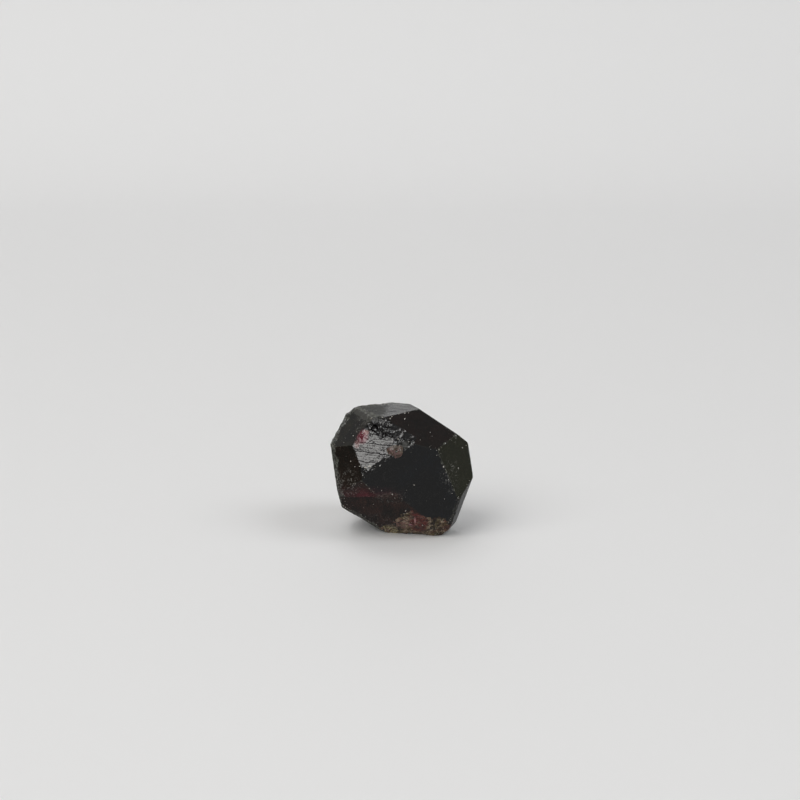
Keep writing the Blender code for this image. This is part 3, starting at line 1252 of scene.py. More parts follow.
class NodeBench:
    """Short ways to place and join shader nodes in one tree."""

    def __init__(self, tree: bpy.types.NodeTree) -> None:
        """Keeps the tree."""
        self.tree = tree

    def add(self, kind: str, given: dict[str | int, object], **settings: object) -> bpy.types.Node:
        """Places one shader node.

        Args:
            kind: The node's kind.
            given: For its inputs, the sockets to join or the plain values to set.
            settings: Its properties.

        Returns:
            The node.
        """
        node = self.tree.nodes.new(f"ShaderNode{kind}")
        for name, value in settings.items():
            setattr(node, name, value)
        for name, value in given.items():
            self.feed(node.inputs[name], value)
        return node

    def feed(self, socket: Socket, value: object) -> None:
        """Joins another socket to this one, or sets its plain value.

        Args:
            socket: The input to feed.
            value: A socket, a number, a vector or a colour.
        """
        if isinstance(value, Socket):
            self.tree.links.new(value, socket)
        elif isinstance(value, tuple) and len(value) == 3 and socket.type == "RGBA":
            socket.default_value = (*value, 1.0)
        else:
            socket.default_value = value

    def maths(self, operation: str, *values: object) -> Socket:
        """Returns the result of one sum."""
        return self.add("Math", dict(enumerate(values)), operation=operation).outputs[0]

    def times(self, *values: object) -> Socket:
        """Returns the product of the values."""
        return reduce(partial(self.maths, "MULTIPLY"), values)

    def most(self, *values: object) -> Socket:
        """Returns the largest of the values."""
        return reduce(partial(self.maths, "MAXIMUM"), values)

    def vectors(self, operation: str, *values: object) -> bpy.types.Node:
        """Returns the node for one sum of vectors."""
        return self.add("VectorMath", dict(enumerate(values)), operation=operation)

    def parts(self, vector: Socket) -> tuple[Socket, Socket, Socket]:
        """Returns a vector's three parts."""
        return tuple(self.add("SeparateXYZ", {0: vector}).outputs)

    def mix(self, share: object, first: object, second: object) -> Socket:
        """Returns a mix of two colours."""
        return self.add("Mix", {0: share, 6: first, 7: second}, data_type="RGBA").outputs[2]

    def spread(
        self, value: object, low: object, high: object, to_low: float = 0.0, to_high: float = 1.0
    ) -> Socket:
        """Returns the value spread smoothly from one range to another."""
        given = dict(enumerate((value, low, high, to_low, to_high)))
        return self.add("MapRange", given, interpolation_type="SMOOTHSTEP").outputs[0]

    def noise(
        self, at: object, scale: float, detail: float = 2.0, distortion: float = 0.0
    ) -> bpy.types.NodeOutputs:
        """Returns the outputs of plain noise at these coordinates: its strength and its colour."""
        given = {"Vector": at, "Scale": scale, "Detail": detail, "Distortion": distortion}
        return self.add("TexNoise", given).outputs

    def turned(self, vector: Socket, turn: object) -> Socket:
        """Returns the vector turned round the three axes."""
        given = {"Vector": vector, "Rotation": turn}
        return self.add("VectorRotate", given, rotation_type="EULER_XYZ").outputs[0]

    def group(self, tree: bpy.types.NodeTree, **given: object) -> Socket:
        """Returns the output of a placed node group with these inputs."""
        placed = self.add("Group", {}, node_tree=tree)
        for name, value in given.items():
            self.feed(placed.inputs[name], value)
        return placed.outputs[0]


def new_group(
    name: str, inputs: dict[str, object]
) -> tuple[NodeBench, bpy.types.NodeOutputs, Socket]:
    """Starts a shader node group that takes coordinates and puts out a mask.

    Args:
        name: The group's name.
        inputs: Each further input's name and usual value: a vector or a number.

    Returns:
        A bench for the group, what it is given, and the mask that it puts out.
    """
    tree = bpy.data.node_groups.new(name, "ShaderNodeTree")
    tree.interface.new_socket("Coordinates", in_out="INPUT", socket_type="NodeSocketVector")
    for title, value in inputs.items():
        kind = "NodeSocketVector" if isinstance(value, tuple) else "NodeSocketFloat"
        socket = tree.interface.new_socket(title, in_out="INPUT", socket_type=kind)
        socket.default_value = value
    tree.interface.new_socket("Mask", in_out="OUTPUT", socket_type="NodeSocketFloat")
    given, result = (tree.nodes.new(f"NodeGroup{end}") for end in ("Input", "Output"))
    return NodeBench(tree), given.outputs, result.inputs["Mask"]


def patch_group() -> bpy.types.NodeTree:
    """Builds the group that masks one uneven patch round a point.

    Returns:
        The group.
    """
    bench, given, mask = new_group(
        "patch",
        {
            "Centre": (0.0, 0.0, 0.0), "Radii": (1.0, 1.0, 1.0),
            "Softness": 0.3, "Raggedness": 0.4,
        },
    )
    at, softness = given["Coordinates"], given["Softness"]
    offset = bench.vectors("SUBTRACT", at, given["Centre"]).outputs[0]
    share = bench.vectors("DIVIDE", offset, given["Radii"]).outputs[0]
    length = bench.vectors("LENGTH", share).outputs["Value"]
    uneven = bench.maths("SUBTRACT", bench.noise(at, 1.6, 3.0)["Fac"], 0.5)
    reach = bench.maths("ADD", length, bench.times(uneven, given["Raggedness"], 2.0))
    inner, outer = (bench.maths(way, 1.0, softness) for way in ("SUBTRACT", "ADD"))
    bench.feed(mask, bench.spread(reach, inner, outer, 1.0, 0.0))
    return bench.tree


def stroke_group() -> bpy.types.NodeTree:
    """Builds the group that scatters fine specks or, stretched, short curved strokes.

    Returns:
        The group.
    """
    bench, given, mask = new_group(
        "strokes",
        {
            "Turn": (0.0, 0.0, 0.0), "Stretch": (1.0, 1.0, 1.0),
            "Bend": 0.0, "Size": 0.2, "Amount": 0.3,
        },
    )
    at = given["Coordinates"]
    bent = bench.vectors("SCALE", bench.noise(at, 0.9)["Color"])
    bench.feed(bent.inputs["Scale"], given["Bend"])
    moved = bench.vectors("ADD", at, bent.outputs[0]).outputs[0]
    turned = bench.turned(moved, given["Turn"])
    stretched = bench.vectors("MULTIPLY", turned, given["Stretch"]).outputs[0]
    cells = bench.add("TexVoronoi", {"Vector": stretched, "Scale": 1.0}, feature="F1").outputs
    dot = bench.spread(cells["Distance"], 0.0, given["Size"], 1.0, 0.0)
    number = bench.add("SeparateColor", {0: cells["Color"]}).outputs[0]
    kept = bench.maths("LESS_THAN", number, given["Amount"])
    bench.feed(mask, bench.times(dot, kept))
    return bench.tree


class MaterialBench(NodeBench):
    """A bench that starts a material."""

    def __init__(self, name: str) -> None:
        """Starts the material.

        Args:
            name: The material's name.
        """
        self.material = bpy.data.materials.new(name)
        self.material.use_nodes = True
        super().__init__(self.material.node_tree)
        self.shader = self.tree.nodes["Principled BSDF"]
        self.metres = self.add("TexCoord", {}).outputs["Object"]

    def finish(self, **given: object) -> None:
        """Feeds the shader's inputs, with _ for a space in their names."""
        for name, value in given.items():
            self.feed(self.shader.inputs[name.replace("_", " ")], value)

    def millimetres(self) -> Socket:
        """Returns Object coordinates in millimetres from the crystal's centre."""
        given = {"Vector": self.metres, "Location": -SHIFT, "Scale": (1.0 / MM,) * 3}
        return self.add("Mapping", given).outputs[0]


class GarnetBench(MaterialBench):
    """The crystal's bench, with its coordinates, attributes and node groups at hand."""

    def __init__(self) -> None:
        """Starts the crystal's material."""
        super().__init__("dark_garnet")
        self.at = self.millimetres()
        self.wear, self.tint = self.channels("wear"), self.channels("tint")
        self.patch, self.strokes = patch_group(), stroke_group()

    def channels(self, name: str) -> dict[str, Socket]:
        """Returns the four channels of a colour attribute, by name."""
        source = self.add("Attribute", {}, attribute_name=name).outputs
        parts = self.add("SeparateColor", {0: source["Color"]}).outputs
        return dict(zip(("red", "green", "blue", "alpha"), (*parts, source["Alpha"])))

    def cloud(
        self, scale: float, detail: float, low: float, high: float,
        to_low: float = 0.0, to_high: float = 1.0,
    ) -> Socket:
        """Returns noise spread smoothly from one range to another."""
        drift = self.noise(self.at, scale, detail)["Fac"]
        return self.spread(drift, low, high, to_low, to_high)

    def patched(
        self, centre: Shares, radii: Shares, softness: float, raggedness: float
    ) -> Socket:
        """Returns the mask of one uneven patch."""
        return self.group(
            self.patch, Coordinates=self.at, Centre=centre, Radii=radii,
            Softness=softness, Raggedness=raggedness,
        )


@dataclass(frozen=True)
class Patch:
    """One stained, pale or glowing patch on the crystal; some are painted highlights."""

    centre: Shares
    radii: Shares
    colour: Colour
    strength: float = 1.0
    softness: float = 0.35
    raggedness: float = 0.35


@dataclass(frozen=True)
class GarnetFinish:
    """Dark garnet: near-black and glassy, rusty where it is broken, with a painted red glow where
    it is thin, a painted bluish reflection and painted highlights.
    """

    black: Colour = (0.0016, 0.0015, 0.0016)
    # Painted bluish reflection, on one face.
    cool_reflection: Colour = (0.0012, 0.0022, 0.0038)
    olive: Colour = (0.013, 0.0125, 0.0065)
    warm: Colour = (0.026, 0.009, 0.0062)
    rust: Colour = (0.075, 0.036, 0.024)
    # Painted red glow: stands in for light shining through the thin corner.
    glow: Colour = (0.095, 0.007, 0.017)
    # The garnet's own deep red, partly a painted glow of light through the thin break.
    deep_red_and_glow: Colour = (0.135, 0.013, 0.011)
    flap: Colour = (0.27, 0.15, 0.12)
    break_dark: Colour = (0.026, 0.015, 0.008)
    break_olive: Colour = (0.075, 0.052, 0.016)
    break_red: Colour = (0.14, 0.032, 0.026)
    break_tan: Colour = (0.26, 0.20, 0.115)
    break_pale: Colour = (0.60, 0.48, 0.34)
    stripe: Colour = (0.48, 0.42, 0.24)
    lump: Colour = (0.175, 0.09, 0.082)
    lump_brown: Colour = (0.05, 0.03, 0.014)
    worn: Colour = (0.17, 0.175, 0.145)
    dust: Colour = (0.45, 0.44, 0.41)
    ior: float = 1.79
    clearness: float = 0.25
    absorbed: Colour = (0.75, 0.02, 0.03)
    absorption: float = 2500.0
    patches: tuple[Patch, ...] = (
        Patch((-5.95, -5.95, 7.05), (0.95, 0.9, 1.15), (0.17, 0.02, 0.038), 0.9),
        Patch((-6.75, -6.4, 6.1), (0.42, 0.6, 0.85), (0.16, 0.06, 0.055), 0.85),
        Patch((-5.35, -5.75, 7.75), (0.35, 0.5, 0.5), (0.42, 0.24, 0.22), 0.7),
        Patch((-8.2, -6.6, -0.1), (2.2, 2.2, 2.3), (0.016, 0.009, 0.0065), 0.8, 0.6, 0.6),
        Patch((-2.6, -7.3, -2.0), (1.8, 1.2, 0.6), (0.06, 0.035, 0.028), 0.6, 0.5, 1.1),
        # Painted highlights: two pale pink streaks on the foot's red centre stand in for glossy
        # glints.
        Patch((1.98, -5.5, -6.85), (0.15, 1.2, 0.75), (0.62, 0.34, 0.34), 0.9, 0.4, 0.5),
        Patch((1.25, -5.1, -7.65), (0.4, 1.0, 0.28), (0.62, 0.34, 0.40), 0.85, 0.4, 0.6),
        Patch((7.0, -4.1, -7.95), (1.1, 1.3, 0.6), (0.10, 0.02, 0.014), 0.6, 0.5, 1.0),
    )
    # Dull, rough places on the top's left and beside the lump: centre and radii.
    dull_places: tuple[tuple[Shares, Shares], ...] = (
        ((-5.2, -1.8, 9.9), (2.7, 4.0, 1.2)),
        ((0.4, -8.4, 6.5), (0.6, 0.8, 0.7)),
    )
    # Worn strips along far edges: the face beyond the edge, its distance, and the strip's width.
    strips: tuple[tuple[Index, float, float], ...] = (
        ((-1, -1, -2), 10.8, 0.5),
        ((1, -1, -2), 8.85, 1.0),
        ((-2, -1, -1), 9.9, 0.28),
        ((-2, -1, 1), 9.7, 0.3),
    )
    # Where a painted red glow, standing in for light through the thin corner, shows in a band:
    # centre, radii, softness and strength.
    glow_bands: tuple[tuple[Shares, Shares, float, float], ...] = (
        ((-6.4, -7.0, -1.5), (4.4, 2.6, 1.05), 0.7, 0.5),
        ((-7.2, -6.8, -1.7), (2.7, 2.0, 0.65), 0.6, 0.95),
    )
    # Where the fine scratches are densest: centre, radii and strength.
    scratched_places: tuple[tuple[Shares, Shares, float], ...] = (
        ((-8.2, -6.6, -0.3), (2.6, 2.4, 2.4), 0.75),
        ((7.2, -5.8, 0.9), (1.5, 2.0, 2.6), 0.75),
        ((-2.0, -6.9, -2.4), (3.0, 2.0, 1.2), 0.5),
        ((-4.4, -3.4, -7.0), (4.0, 2.6, 1.5), 0.4),
        ((-5.2, -4.2, 8.6), (2.4, 2.4, 1.6), 0.5),
    )
    # The layers of scratches: turn, stretch, size, amount and strength.
    scratches: tuple[tuple[Shares, Shares, float, float, float], ...] = (
        ((0.4, 0.9, 0.2), (0.8, 3.4, 3.4), 0.34, 0.3, 0.5),
        ((1.2, -0.5, 0.8), (0.9, 3.8, 3.8), 0.32, 0.3, 0.42),
        ((-0.7, 0.3, 1.9), (1.0, 3.0, 3.0), 0.34, 0.25, 0.5),
        ((0.0, 0.0, 0.0), (2.6, 2.6, 2.6), 0.36, 0.2, 0.5),
        ((0.3, 0.2, 0.1), (5.0, 5.0, 5.0), 0.4, 0.16, 0.5),
    )
    scratches_elsewhere: float = 0.05
    scratch_bend: float = 0.8
    roughest: float = 0.75
    bump_strength: float = 0.35
    bump_depth: float = 0.00006

    def material(self) -> bpy.types.Material:
        """Makes the crystal's material.

        Returns:
            The material.
        """
        bench = GarnetBench()
        wear, tint = bench.wear, bench.tint
        dull = bench.most(0.0, *(bench.patched(*place, 0.3, 0.5) for place in self.dull_places))
        worn = bench.most(self.worn_mask(bench), bench.times(dull, 0.15))
        colour = bench.mix(worn, self.clean_colour(bench), self.worn)
        colour = bench.mix(wear["red"], colour, self.break_colour(bench))
        colour = bench.mix(tint["alpha"], colour, self.lump_colour(bench))
        for spot in self.patches:
            mask = bench.patched(spot.centre, spot.radii, spot.softness, spot.raggedness)
            colour = bench.mix(bench.times(mask, spot.strength), colour, spot.colour)
        marks = self.scratched(bench)

        rough = bench.cloud(1.1, 4.0, 0.3, 0.7, 0.03, 0.08)
        for share, weight in (
            (wear["alpha"], 0.16), (wear["red"], 0.2), (worn, 0.35), (dull, 0.4),
            (tint["alpha"], 0.32), (marks, 0.4),
        ):
            rough = bench.maths("MULTIPLY_ADD", share, weight, rough)

        waver, fine = (bench.noise(bench.at, *kind)["Fac"] for kind in ((0.9, 2.0), (9.0, 3.0)))
        rugged: object = 0.004
        for share, weight in ((wear["red"], 0.4), (wear["alpha"], 0.22), (tint["alpha"], 0.5)):
            rugged = bench.maths("MULTIPLY_ADD", share, weight, rugged)
        height = bench.maths("MULTIPLY_ADD", fine, rugged, waver)
        bump = {"Strength": self.bump_strength, "Distance": self.bump_depth, "Height": height}

        bench.finish(
            Base_Color=bench.mix(marks, colour, self.dust),
            Roughness=bench.maths("MINIMUM", rough, self.roughest),
            IOR=self.ior,
            Transmission_Weight=self.clearness,
            Normal=bench.add("Bump", bump).outputs[0],
        )
        inside = {"Color": self.absorbed, "Density": self.absorption}
        output = bench.tree.nodes["Material Output"]
        bench.feed(output.inputs["Volume"], bench.add("VolumeAbsorption", inside).outputs[0])
        return bench.material

    def clean_colour(self, bench: GarnetBench) -> Socket:
        """The colour of the clean faces: near black, with faint tints, one of them a painted
        bluish reflection, and a painted red glow in a band.

        Args:
            bench: The crystal's bench.

        Returns:
            The colour.
        """
        tint = bench.tint
        colour: object = self.black
        for share, drift, shade in (
            (tint["green"], (0.22, 3.0, 0.35, 0.62), self.cool_reflection),
            (tint["blue"], (0.4, 5.0, 0.3, 0.68), self.olive),
            (tint["red"], (0.45, 5.0, 0.34, 0.66), self.warm),
        ):
            colour = bench.mix(bench.times(share, bench.cloud(*drift)), colour, shade)
        tinted = bench.most(tint["red"], bench.times(tint["blue"], 0.35))
        flecks = bench.times(bench.cloud(2.6, 5.0, 0.55, 0.72), tinted, 0.55)
        colour = bench.mix(flecks, colour, self.rust)
        level = bench.vectors("MULTIPLY", bench.at, (0.25, 0.25, 2.6)).outputs[0]
        streaks = bench.spread(bench.noise(level, 1.0, 3.0)["Fac"], 0.3, 0.65, 0.55, 1.0)
        # Painted red glow: bands of red stand in for light shining through the thin lower left
        # corner.
        for centre, radii, softness, strength in self.glow_bands:
            band = bench.times(bench.patched(centre, radii, softness, 0.5), streaks, strength)
            colour = bench.mix(band, colour, self.glow)
        return colour

    def worn_mask(self, bench: GarnetBench) -> Socket:
        """Masks the worn, dusty skin: what is chipped, and strips along far edges.

        Args:
            bench: The crystal's bench.

        Returns:
            How much of it shows.
        """
        worn = bench.times(bench.wear["blue"], bench.cloud(2.4, 5.0, 0.36, 0.62, 0.2, 1.0))
        ragged = bench.maths("SUBTRACT", bench.noise(bench.at, 1.5, 5.0)["Fac"], 0.5)
        spotted = bench.cloud(3.0, 5.0, 0.45, 0.6, 0.08, 1.0)
        clear = bench.maths("SUBTRACT", 1.0, bench.wear["red"])
        for index, distance, width in self.strips:
            reach = bench.vectors("DOT_PRODUCT", bench.at, direction(index)).outputs["Value"]
            inward = bench.maths("SUBTRACT", distance, reach)
            inward = bench.maths("MULTIPLY_ADD", ragged, width * 3.0, inward)
            strip = bench.spread(inward, width * 0.4, width * 1.2, 1.0, 0.0)
            strip = bench.times(strip, spotted, 0.75, bench.wear["green"], clear)
            worn = bench.most(worn, strip)
        return worn

    def lump_colour(self, bench: GarnetBench) -> Socket:
        """The frosted brownish pink of the remnant, browner towards its top, with pale painted
        glints.

        Args:
            bench: The crystal's bench.

        Returns:
            The colour.
        """
        _, _, height = bench.parts(bench.at)
        drift = bench.noise(bench.at, 1.4, 3.0)["Fac"]
        uneven = bench.maths("MULTIPLY_ADD", drift, 1.2, height)
        colour = bench.mix(bench.spread(uneven, 6.1, 6.9), self.lump, self.lump_brown)
        colour = bench.mix(bench.cloud(2.6, 4.0, 0.4, 0.56), self.lump_brown, colour)
        # Painted glints: pale spots stand in for light catching the frosted skin.
        painted_glints = bench.times(bench.cloud(4.0, 3.0, 0.6, 0.68), 0.8)
        return bench.mix(painted_glints, colour, self.break_pale)

    def break_colour(self, bench: GarnetBench) -> Socket:
        """The colour of the broken foot: rust and tan, pale along its ridges, with a deep red
        centre that is the garnet's own red, partly painted as a glow of light through the thin
        break.

        Args:
            bench: The crystal's bench.

        Returns:
            The colour.
        """
        olive = bench.cloud(0.95, 3.0, 0.42, 0.6)
        colour = bench.mix(olive, self.break_dark, self.break_olive)
        red = bench.times(bench.cloud(0.7, 3.0, 0.46, 0.64), 0.7)
        colour = bench.mix(red, colour, self.break_red)
        tan = bench.spread(bench.noise(bench.at, 1.5, 5.0, 0.6)["Fac"], 0.5, 0.6)
        colour = bench.mix(bench.times(tan, 0.45), colour, self.break_tan)
        flap = bench.patched((0.2, -4.6, -7.5), (1.4, 3.0, 1.1), 0.35, 0.6)
        flap = bench.times(flap, bench.cloud(2.0, 4.0, 0.38, 0.6, 0.25, 1.0))
        colour = bench.mix(flap, colour, self.flap)
        # The deep red centre: the garnet's own red, partly a painted glow of light through the
        # thin break.
        deep = bench.patched((2.5, -5.2, -7.0), (1.5, 3.2, 2.6), 0.3, 0.35)
        shade = bench.cloud(1.6, 4.0, 0.34, 0.58, 0.2, 1.0)
        colour = bench.mix(deep, colour, bench.mix(shade, self.break_dark, self.deep_red_and_glow))
        ridge = bench.times(bench.wear["green"], bench.cloud(1.1, 4.0, 0.44, 0.6))
        veins = bench.times(ridge, bench.maths("MULTIPLY_ADD", deep, -0.6, 0.9))
        colour = bench.mix(veins, colour, self.break_pale)
        across, _, height = bench.parts(bench.at)
        left, low = bench.spread(across, -0.2, -1.1), bench.spread(height, -8.0, -8.4)
        tilted = bench.turned(bench.at, (0.5, 0.9, 0.3))
        drawn = bench.vectors("MULTIPLY", tilted, (0.4, 3.2, 3.2)).outputs[0]
        stripes = bench.spread(bench.noise(drawn, 1.0)["Fac"], 0.47, 0.6)
        return bench.mix(bench.times(low, left, stripes), colour, self.stripe)

    def scratched(self, bench: GarnetBench) -> Socket:
        """Masks the fine scratches and specks, most of them near some edges.

        Args:
            bench: The crystal's bench.

        Returns:
            The strength of the marks.
        """
        places = (
            bench.times(bench.patched(centre, radii, 0.5, 0.4), strength)
            for centre, radii, strength in self.scratched_places
        )
        where = bench.most(self.scratches_elsewhere, *places)
        marks: object = 0.0
        for turn, stretch, size, amount, strength in self.scratches:
            layer = bench.group(
                bench.strokes, Coordinates=bench.at, Turn=turn, Stretch=stretch,
                Bend=self.scratch_bend, Size=size, Amount=amount,
            )
            marks = bench.most(marks, bench.times(layer, strength))
        coil = bench.maths("SUBTRACT", bench.noise(bench.at, 1.5, 2.0, 1.3)["Fac"], 0.5)
        coil = bench.spread(bench.maths("ABSOLUTE", coil), 0.012, 0.05, 0.55, 0.0)
        marks = bench.most(marks, bench.times(coil, bench.cloud(2.1, 2.0, 0.52, 0.62)))
        sculpted = bench.most(bench.wear["red"], bench.wear["alpha"])
        return bench.times(marks, where, bench.maths("SUBTRACT", 1.0, sculpted))


@dataclass(frozen=True)
class DustFinish:
    """Pale mineral dust."""

    colour: Colour = (0.62, 0.61, 0.58)
    dull: Colour = (0.36, 0.33, 0.28)

    def material(self) -> bpy.types.Material:
        """Makes the dust's material.

        Returns:
            The material.
        """
        bench = MaterialBench("pale_dust")
        at = bench.millimetres()
        share = bench.spread(bench.noise(at, 2.0)["Fac"], 0.35, 0.65)
        bench.finish(
            Base_Color=bench.mix(share, self.dull, self.colour),
            Roughness=bench.spread(bench.noise(at, 8.0)["Fac"], 0.3, 0.7, 0.55, 0.9),
        )
        return bench.material


# --- The crystal ---------------------------------------------------------------------------------


# How short an edge is that the clean-up takes out, in millimetres.
SLIVER = 0.0001
# Taking off one fin may leave the next one bare.
FIN_ROUNDS = 3


@dataclass
class Crystal:
    """The whole crystal: grown form, ledge, relief, chips, pit and lump, with its finish."""

    form: GrownForm = field(default_factory=GrownForm)
    ledge: Ledge = field(default_factory=Ledge)
    shoulder: SteppedShoulder = field(default_factory=SteppedShoulder)
    top: LevelTop = field(default_factory=LevelTop)
    chips: Chips = field(default_factory=Chips)
    lump: Lump = field(default_factory=Lump)
    finish: GarnetFinish = field(default_factory=GarnetFinish)

    def build(self) -> Piece:
        """Builds and dresses the crystal.

        Returns:
            The finished piece, in the frame.
        """
        body = self.form.build()
        combine(body, self.ledge.tool())
        for part in (self.shoulder, self.top, *TERRACES, FOOT, FLAP, TAIL):
            combine(body, part.relief().tool())
        for rough in ROUGH_EDGES:
            combine(body, rough.relief(self.form.edges).tool())
        for tool in self.chips.large_tools(self.form):
            combine(body, tool)
        combine(body, self.chips.pit_tool(self.shoulder))
        combine(body, self.lump.tool(), "UNION")
        for tool in self.chips.small_tools(self.form):
            combine(body, tool)
        self.clean(body)
        SurfaceMarks().write(body)
        self.settle(body)
        for zone in Zone:
            bpy.data.materials.remove(bpy.data.materials[zone.value])
        body.data.materials.clear()
        body.data.materials.append(self.finish.material())
        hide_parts("garnet_crystal")
        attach(body, "root")
        return body

    @staticmethod
    def clean(body: Piece) -> None:
        """Makes plain triangles and removes slivers, fins and strays.

        Args:
            body: The crystal, in millimetres.
        """
        with EditMode(body, "VERT"):
            bpy.ops.mesh.select_all(action="SELECT")
            bpy.ops.mesh.quads_convert_to_tris(quad_method="BEAUTY", ngon_method="BEAUTY")
            bpy.ops.mesh.dissolve_degenerate(threshold=SLIVER)
        for _ in range(FIN_ROUNDS):
            Crystal.drop_fins(body)
        Crystal.drop_strays(body)
        with EditMode(body, "EDGE"):
            bpy.ops.mesh.select_non_manifold(use_verts=False)
        open_edges = sum(edge.select for edge in body.data.edges)
        log.info("crystal: %d triangles, %d open edges", len(body.data.polygons), open_edges)

    @staticmethod
    def drop_fins(body: Piece) -> None:
        """Removes triangles that stand on the closed surface like a fin.

        Args:
            body: The crystal, in millimetres.
        """
        mesh = body.data
        count = Counter(key for polygon in mesh.polygons for key in polygon.edge_keys)
        for polygon in mesh.polygons:
            uses = [count[key] for key in polygon.edge_keys]
            polygon.select = min(uses) == 1 and max(uses) > 2
        with EditMode(body, "FACE", keep=True):
            bpy.ops.mesh.delete(type="FACE")

    @staticmethod
    def drop_strays(body: Piece) -> None:
        """Removes whatever isn't joined to the crystal's outside.

        Args:
            body: The crystal, in millimetres.
        """
        farthest = max(body.data.vertices, key=lambda vertex: vertex.co.length)
        for vertex in body.data.vertices:
            vertex.select = vertex.index == farthest.index
        with EditMode(body, "VERT", keep=True):
            bpy.ops.mesh.select_linked()
            bpy.ops.mesh.select_all(action="INVERT")
            bpy.ops.mesh.delete(type="VERT")

    @staticmethod
    def settle(body: Piece) -> None:
        """Moves the piece from millimetres round its centre into the frame, in metres."""
        pick_only(body)
        body.scale = (MM,) * 3
        body.location = SHIFT * MM
        bpy.ops.object.transform_apply(location=True, rotation=True, scale=True)


# --- Dust ----------------------------------------------------------------------------------------


@dataclass
class Dust:
    """Pale specks that lie on the crystal."""

    finish: DustFinish = field(default_factory=DustFinish)
    # Larger specks in their places: point near the surface, and size.
    placed: tuple[tuple[Shares, float], ...] = (
        ((1.8, -7.3, -0.2), 0.11), ((-1.5, -7.6, -1.7), 0.15), ((6.2, -7.0, 2.6), 0.15),
        ((8.5, -4.4, 1.5), 0.12), ((0.4, -4.4, 9.25), 0.12), ((4.2, -5.0, 7.3), 0.09),
        ((-4.5, -6.1, -4.4), 0.09), ((-1.2, -7.5, -2.6), 0.08), ((5.1, -7.2, 4.6), 0.1),
        ((9.0, -2.6, 4.2), 0.1), ((-4.6, -4.5, 9.4), 0.13), ((-1.8, -5.5, 9.6), 0.15),
        ((-1.5, -5.0, 9.8), 0.1), ((-0.5, -3.9, 9.9), 0.1), ((1.0, -2.9, 9.8), 0.09),
        ((-3.9, -1.8, 10.0), 0.09), ((-6.4, -2.9, 8.6), 0.08), ((-7.3, -4.7, 6.7), 0.11),
        ((-0.3, -7.8, 7.3), 0.12), ((-5.5, -8.7, 3.0), 0.16), ((-4.8, -8.8, 3.2), 0.2),
        ((-7.7, -6.6, 3.3), 0.13), ((-6.3, -8.2, 3.0), 0.12), ((-7.0, -7.4, 2.7), 0.1),
        ((0.4, -6.7, -5.1), 0.16), ((2.7, -7.2, 6.8), 0.07), ((10.0, 0.2, -4.7), 0.12),
        ((5.6, -7.5, 5.4), 0.12),
    )
    scattered: int = 130
    clusters_per_mm: float = 0.45
    kinds: int = 6
    seed: int = 23
    # A point this far out in any direction is outside the crystal, in millimetres.
    outside: float = 10.0

    def build(self, crystal: Piece, form: GrownForm) -> Piece:
        """Makes every speck as one joined piece.

        Args:
            crystal: The finished crystal, which the dust lies on.
            form: The grown form, which knows its edges.

        Returns:
            The finished dust.
        """
        draw = random.Random(self.seed)
        spots = [(Vector(place), size) for place, size in self.placed]
        for edge in form.edges:
            for _ in range(int(edge.length * self.clusters_per_mm + draw.random())):
                middle = edge.start.lerp(edge.end, draw.random())
                spread = draw.uniform(0.15, 0.55)
                for _ in range(draw.randint(1, 6)):
                    place = middle + Vector([draw.gauss(0.0, spread) for _ in range(3)])
                    spots.append((place, 0.02 + 0.07 * draw.random() ** 2))
        for _ in range(self.scattered):
            way = Vector([draw.gauss(0.0, 1.0) for _ in range(3)]).normalized()
            spots.append((way * self.outside, 0.02 + 0.045 * draw.random() ** 2))
        rests = []
        for place, _ in spots:
            _, spot, normal, _ = crystal.closest_point_on_mesh((place + SHIFT) * MM)
            rests.append((spot, normal))
        grains = self.grains()
        pieces = []
        for (spot, normal), (_, size) in zip(rests, spots):
            pieces.append(self.speck(draw.choice(grains), spot, normal, size, draw))
        for grain_piece in grains:
            bpy.data.objects.remove(grain_piece, do_unlink=True)
        dust = join_all(pieces)
        dust.name = dust.data.name = "dust"
        self.hold_inside(dust)
        dust.data.materials.append(self.finish.material())
        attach(dust, "root")
        log.info("dust: %d specks, %d faces", len(spots), len(dust.data.polygons))
        return dust

    def grains(self) -> list[Piece]:
        """Models the few uneven grains that every speck is a copy of.

        Returns:
            The grains, each about one unit in radius.
        """
        grains = []
        for number in range(self.kinds):
            one = added(bpy.ops.mesh.primitive_ico_sphere_add, subdivisions=1, radius=1.0)
            shift = Vector((number * 9.0, 0.0, 0.0))
            for vertex in one.data.vertices:
                vertex.co *= 1.0 + 0.55 * noise.noise(vertex.co * 1.9 + shift)
            grains.append(one)
        return grains

    @staticmethod
    def speck(
        grain_piece: Piece, spot: Vector, normal: Vector, size: float, draw: random.Random
    ) -> Piece:
        """Sets a copy of one grain on the crystal.

        Args:
            grain_piece: The grain to copy.
            spot: The point it lies on, in the frame.
            normal: The surface's direction there.
            size: The speck's half length, in millimetres.
            draw: Source of the fixed random numbers.

        Returns:
            The speck, still turned and scaled.
        """
        length = size * draw.uniform(0.8, 1.5)
        one = grain_piece.copy()
        one.data = grain_piece.data.copy()
        bpy.context.scene.collection.objects.link(one)
        one.location = spot + normal * size * 0.3 * MM
        one.rotation_euler = [draw.uniform(0.0, math.tau) for _ in range(3)]
        widths = (length, size * draw.uniform(0.5, 1.0), size * draw.uniform(0.4, 0.8))
        one.scale = [width * MM for width in widths]
        return one

    @staticmethod
    def hold_inside(dust: Piece) -> None:
        """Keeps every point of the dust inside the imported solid's box."""
        low, high = CAD_BOX
        for vertex in dust.data.vertices:
            for axis in range(3):
                vertex.co[axis] = clamp(vertex.co[axis], low[axis], high[axis])


# --- Studio --------------------------------------------------------------------------------------


# The point that the lights are aimed at, in metres.
LIGHT_TARGET = Vector((0.0, 0.0, 0.01))


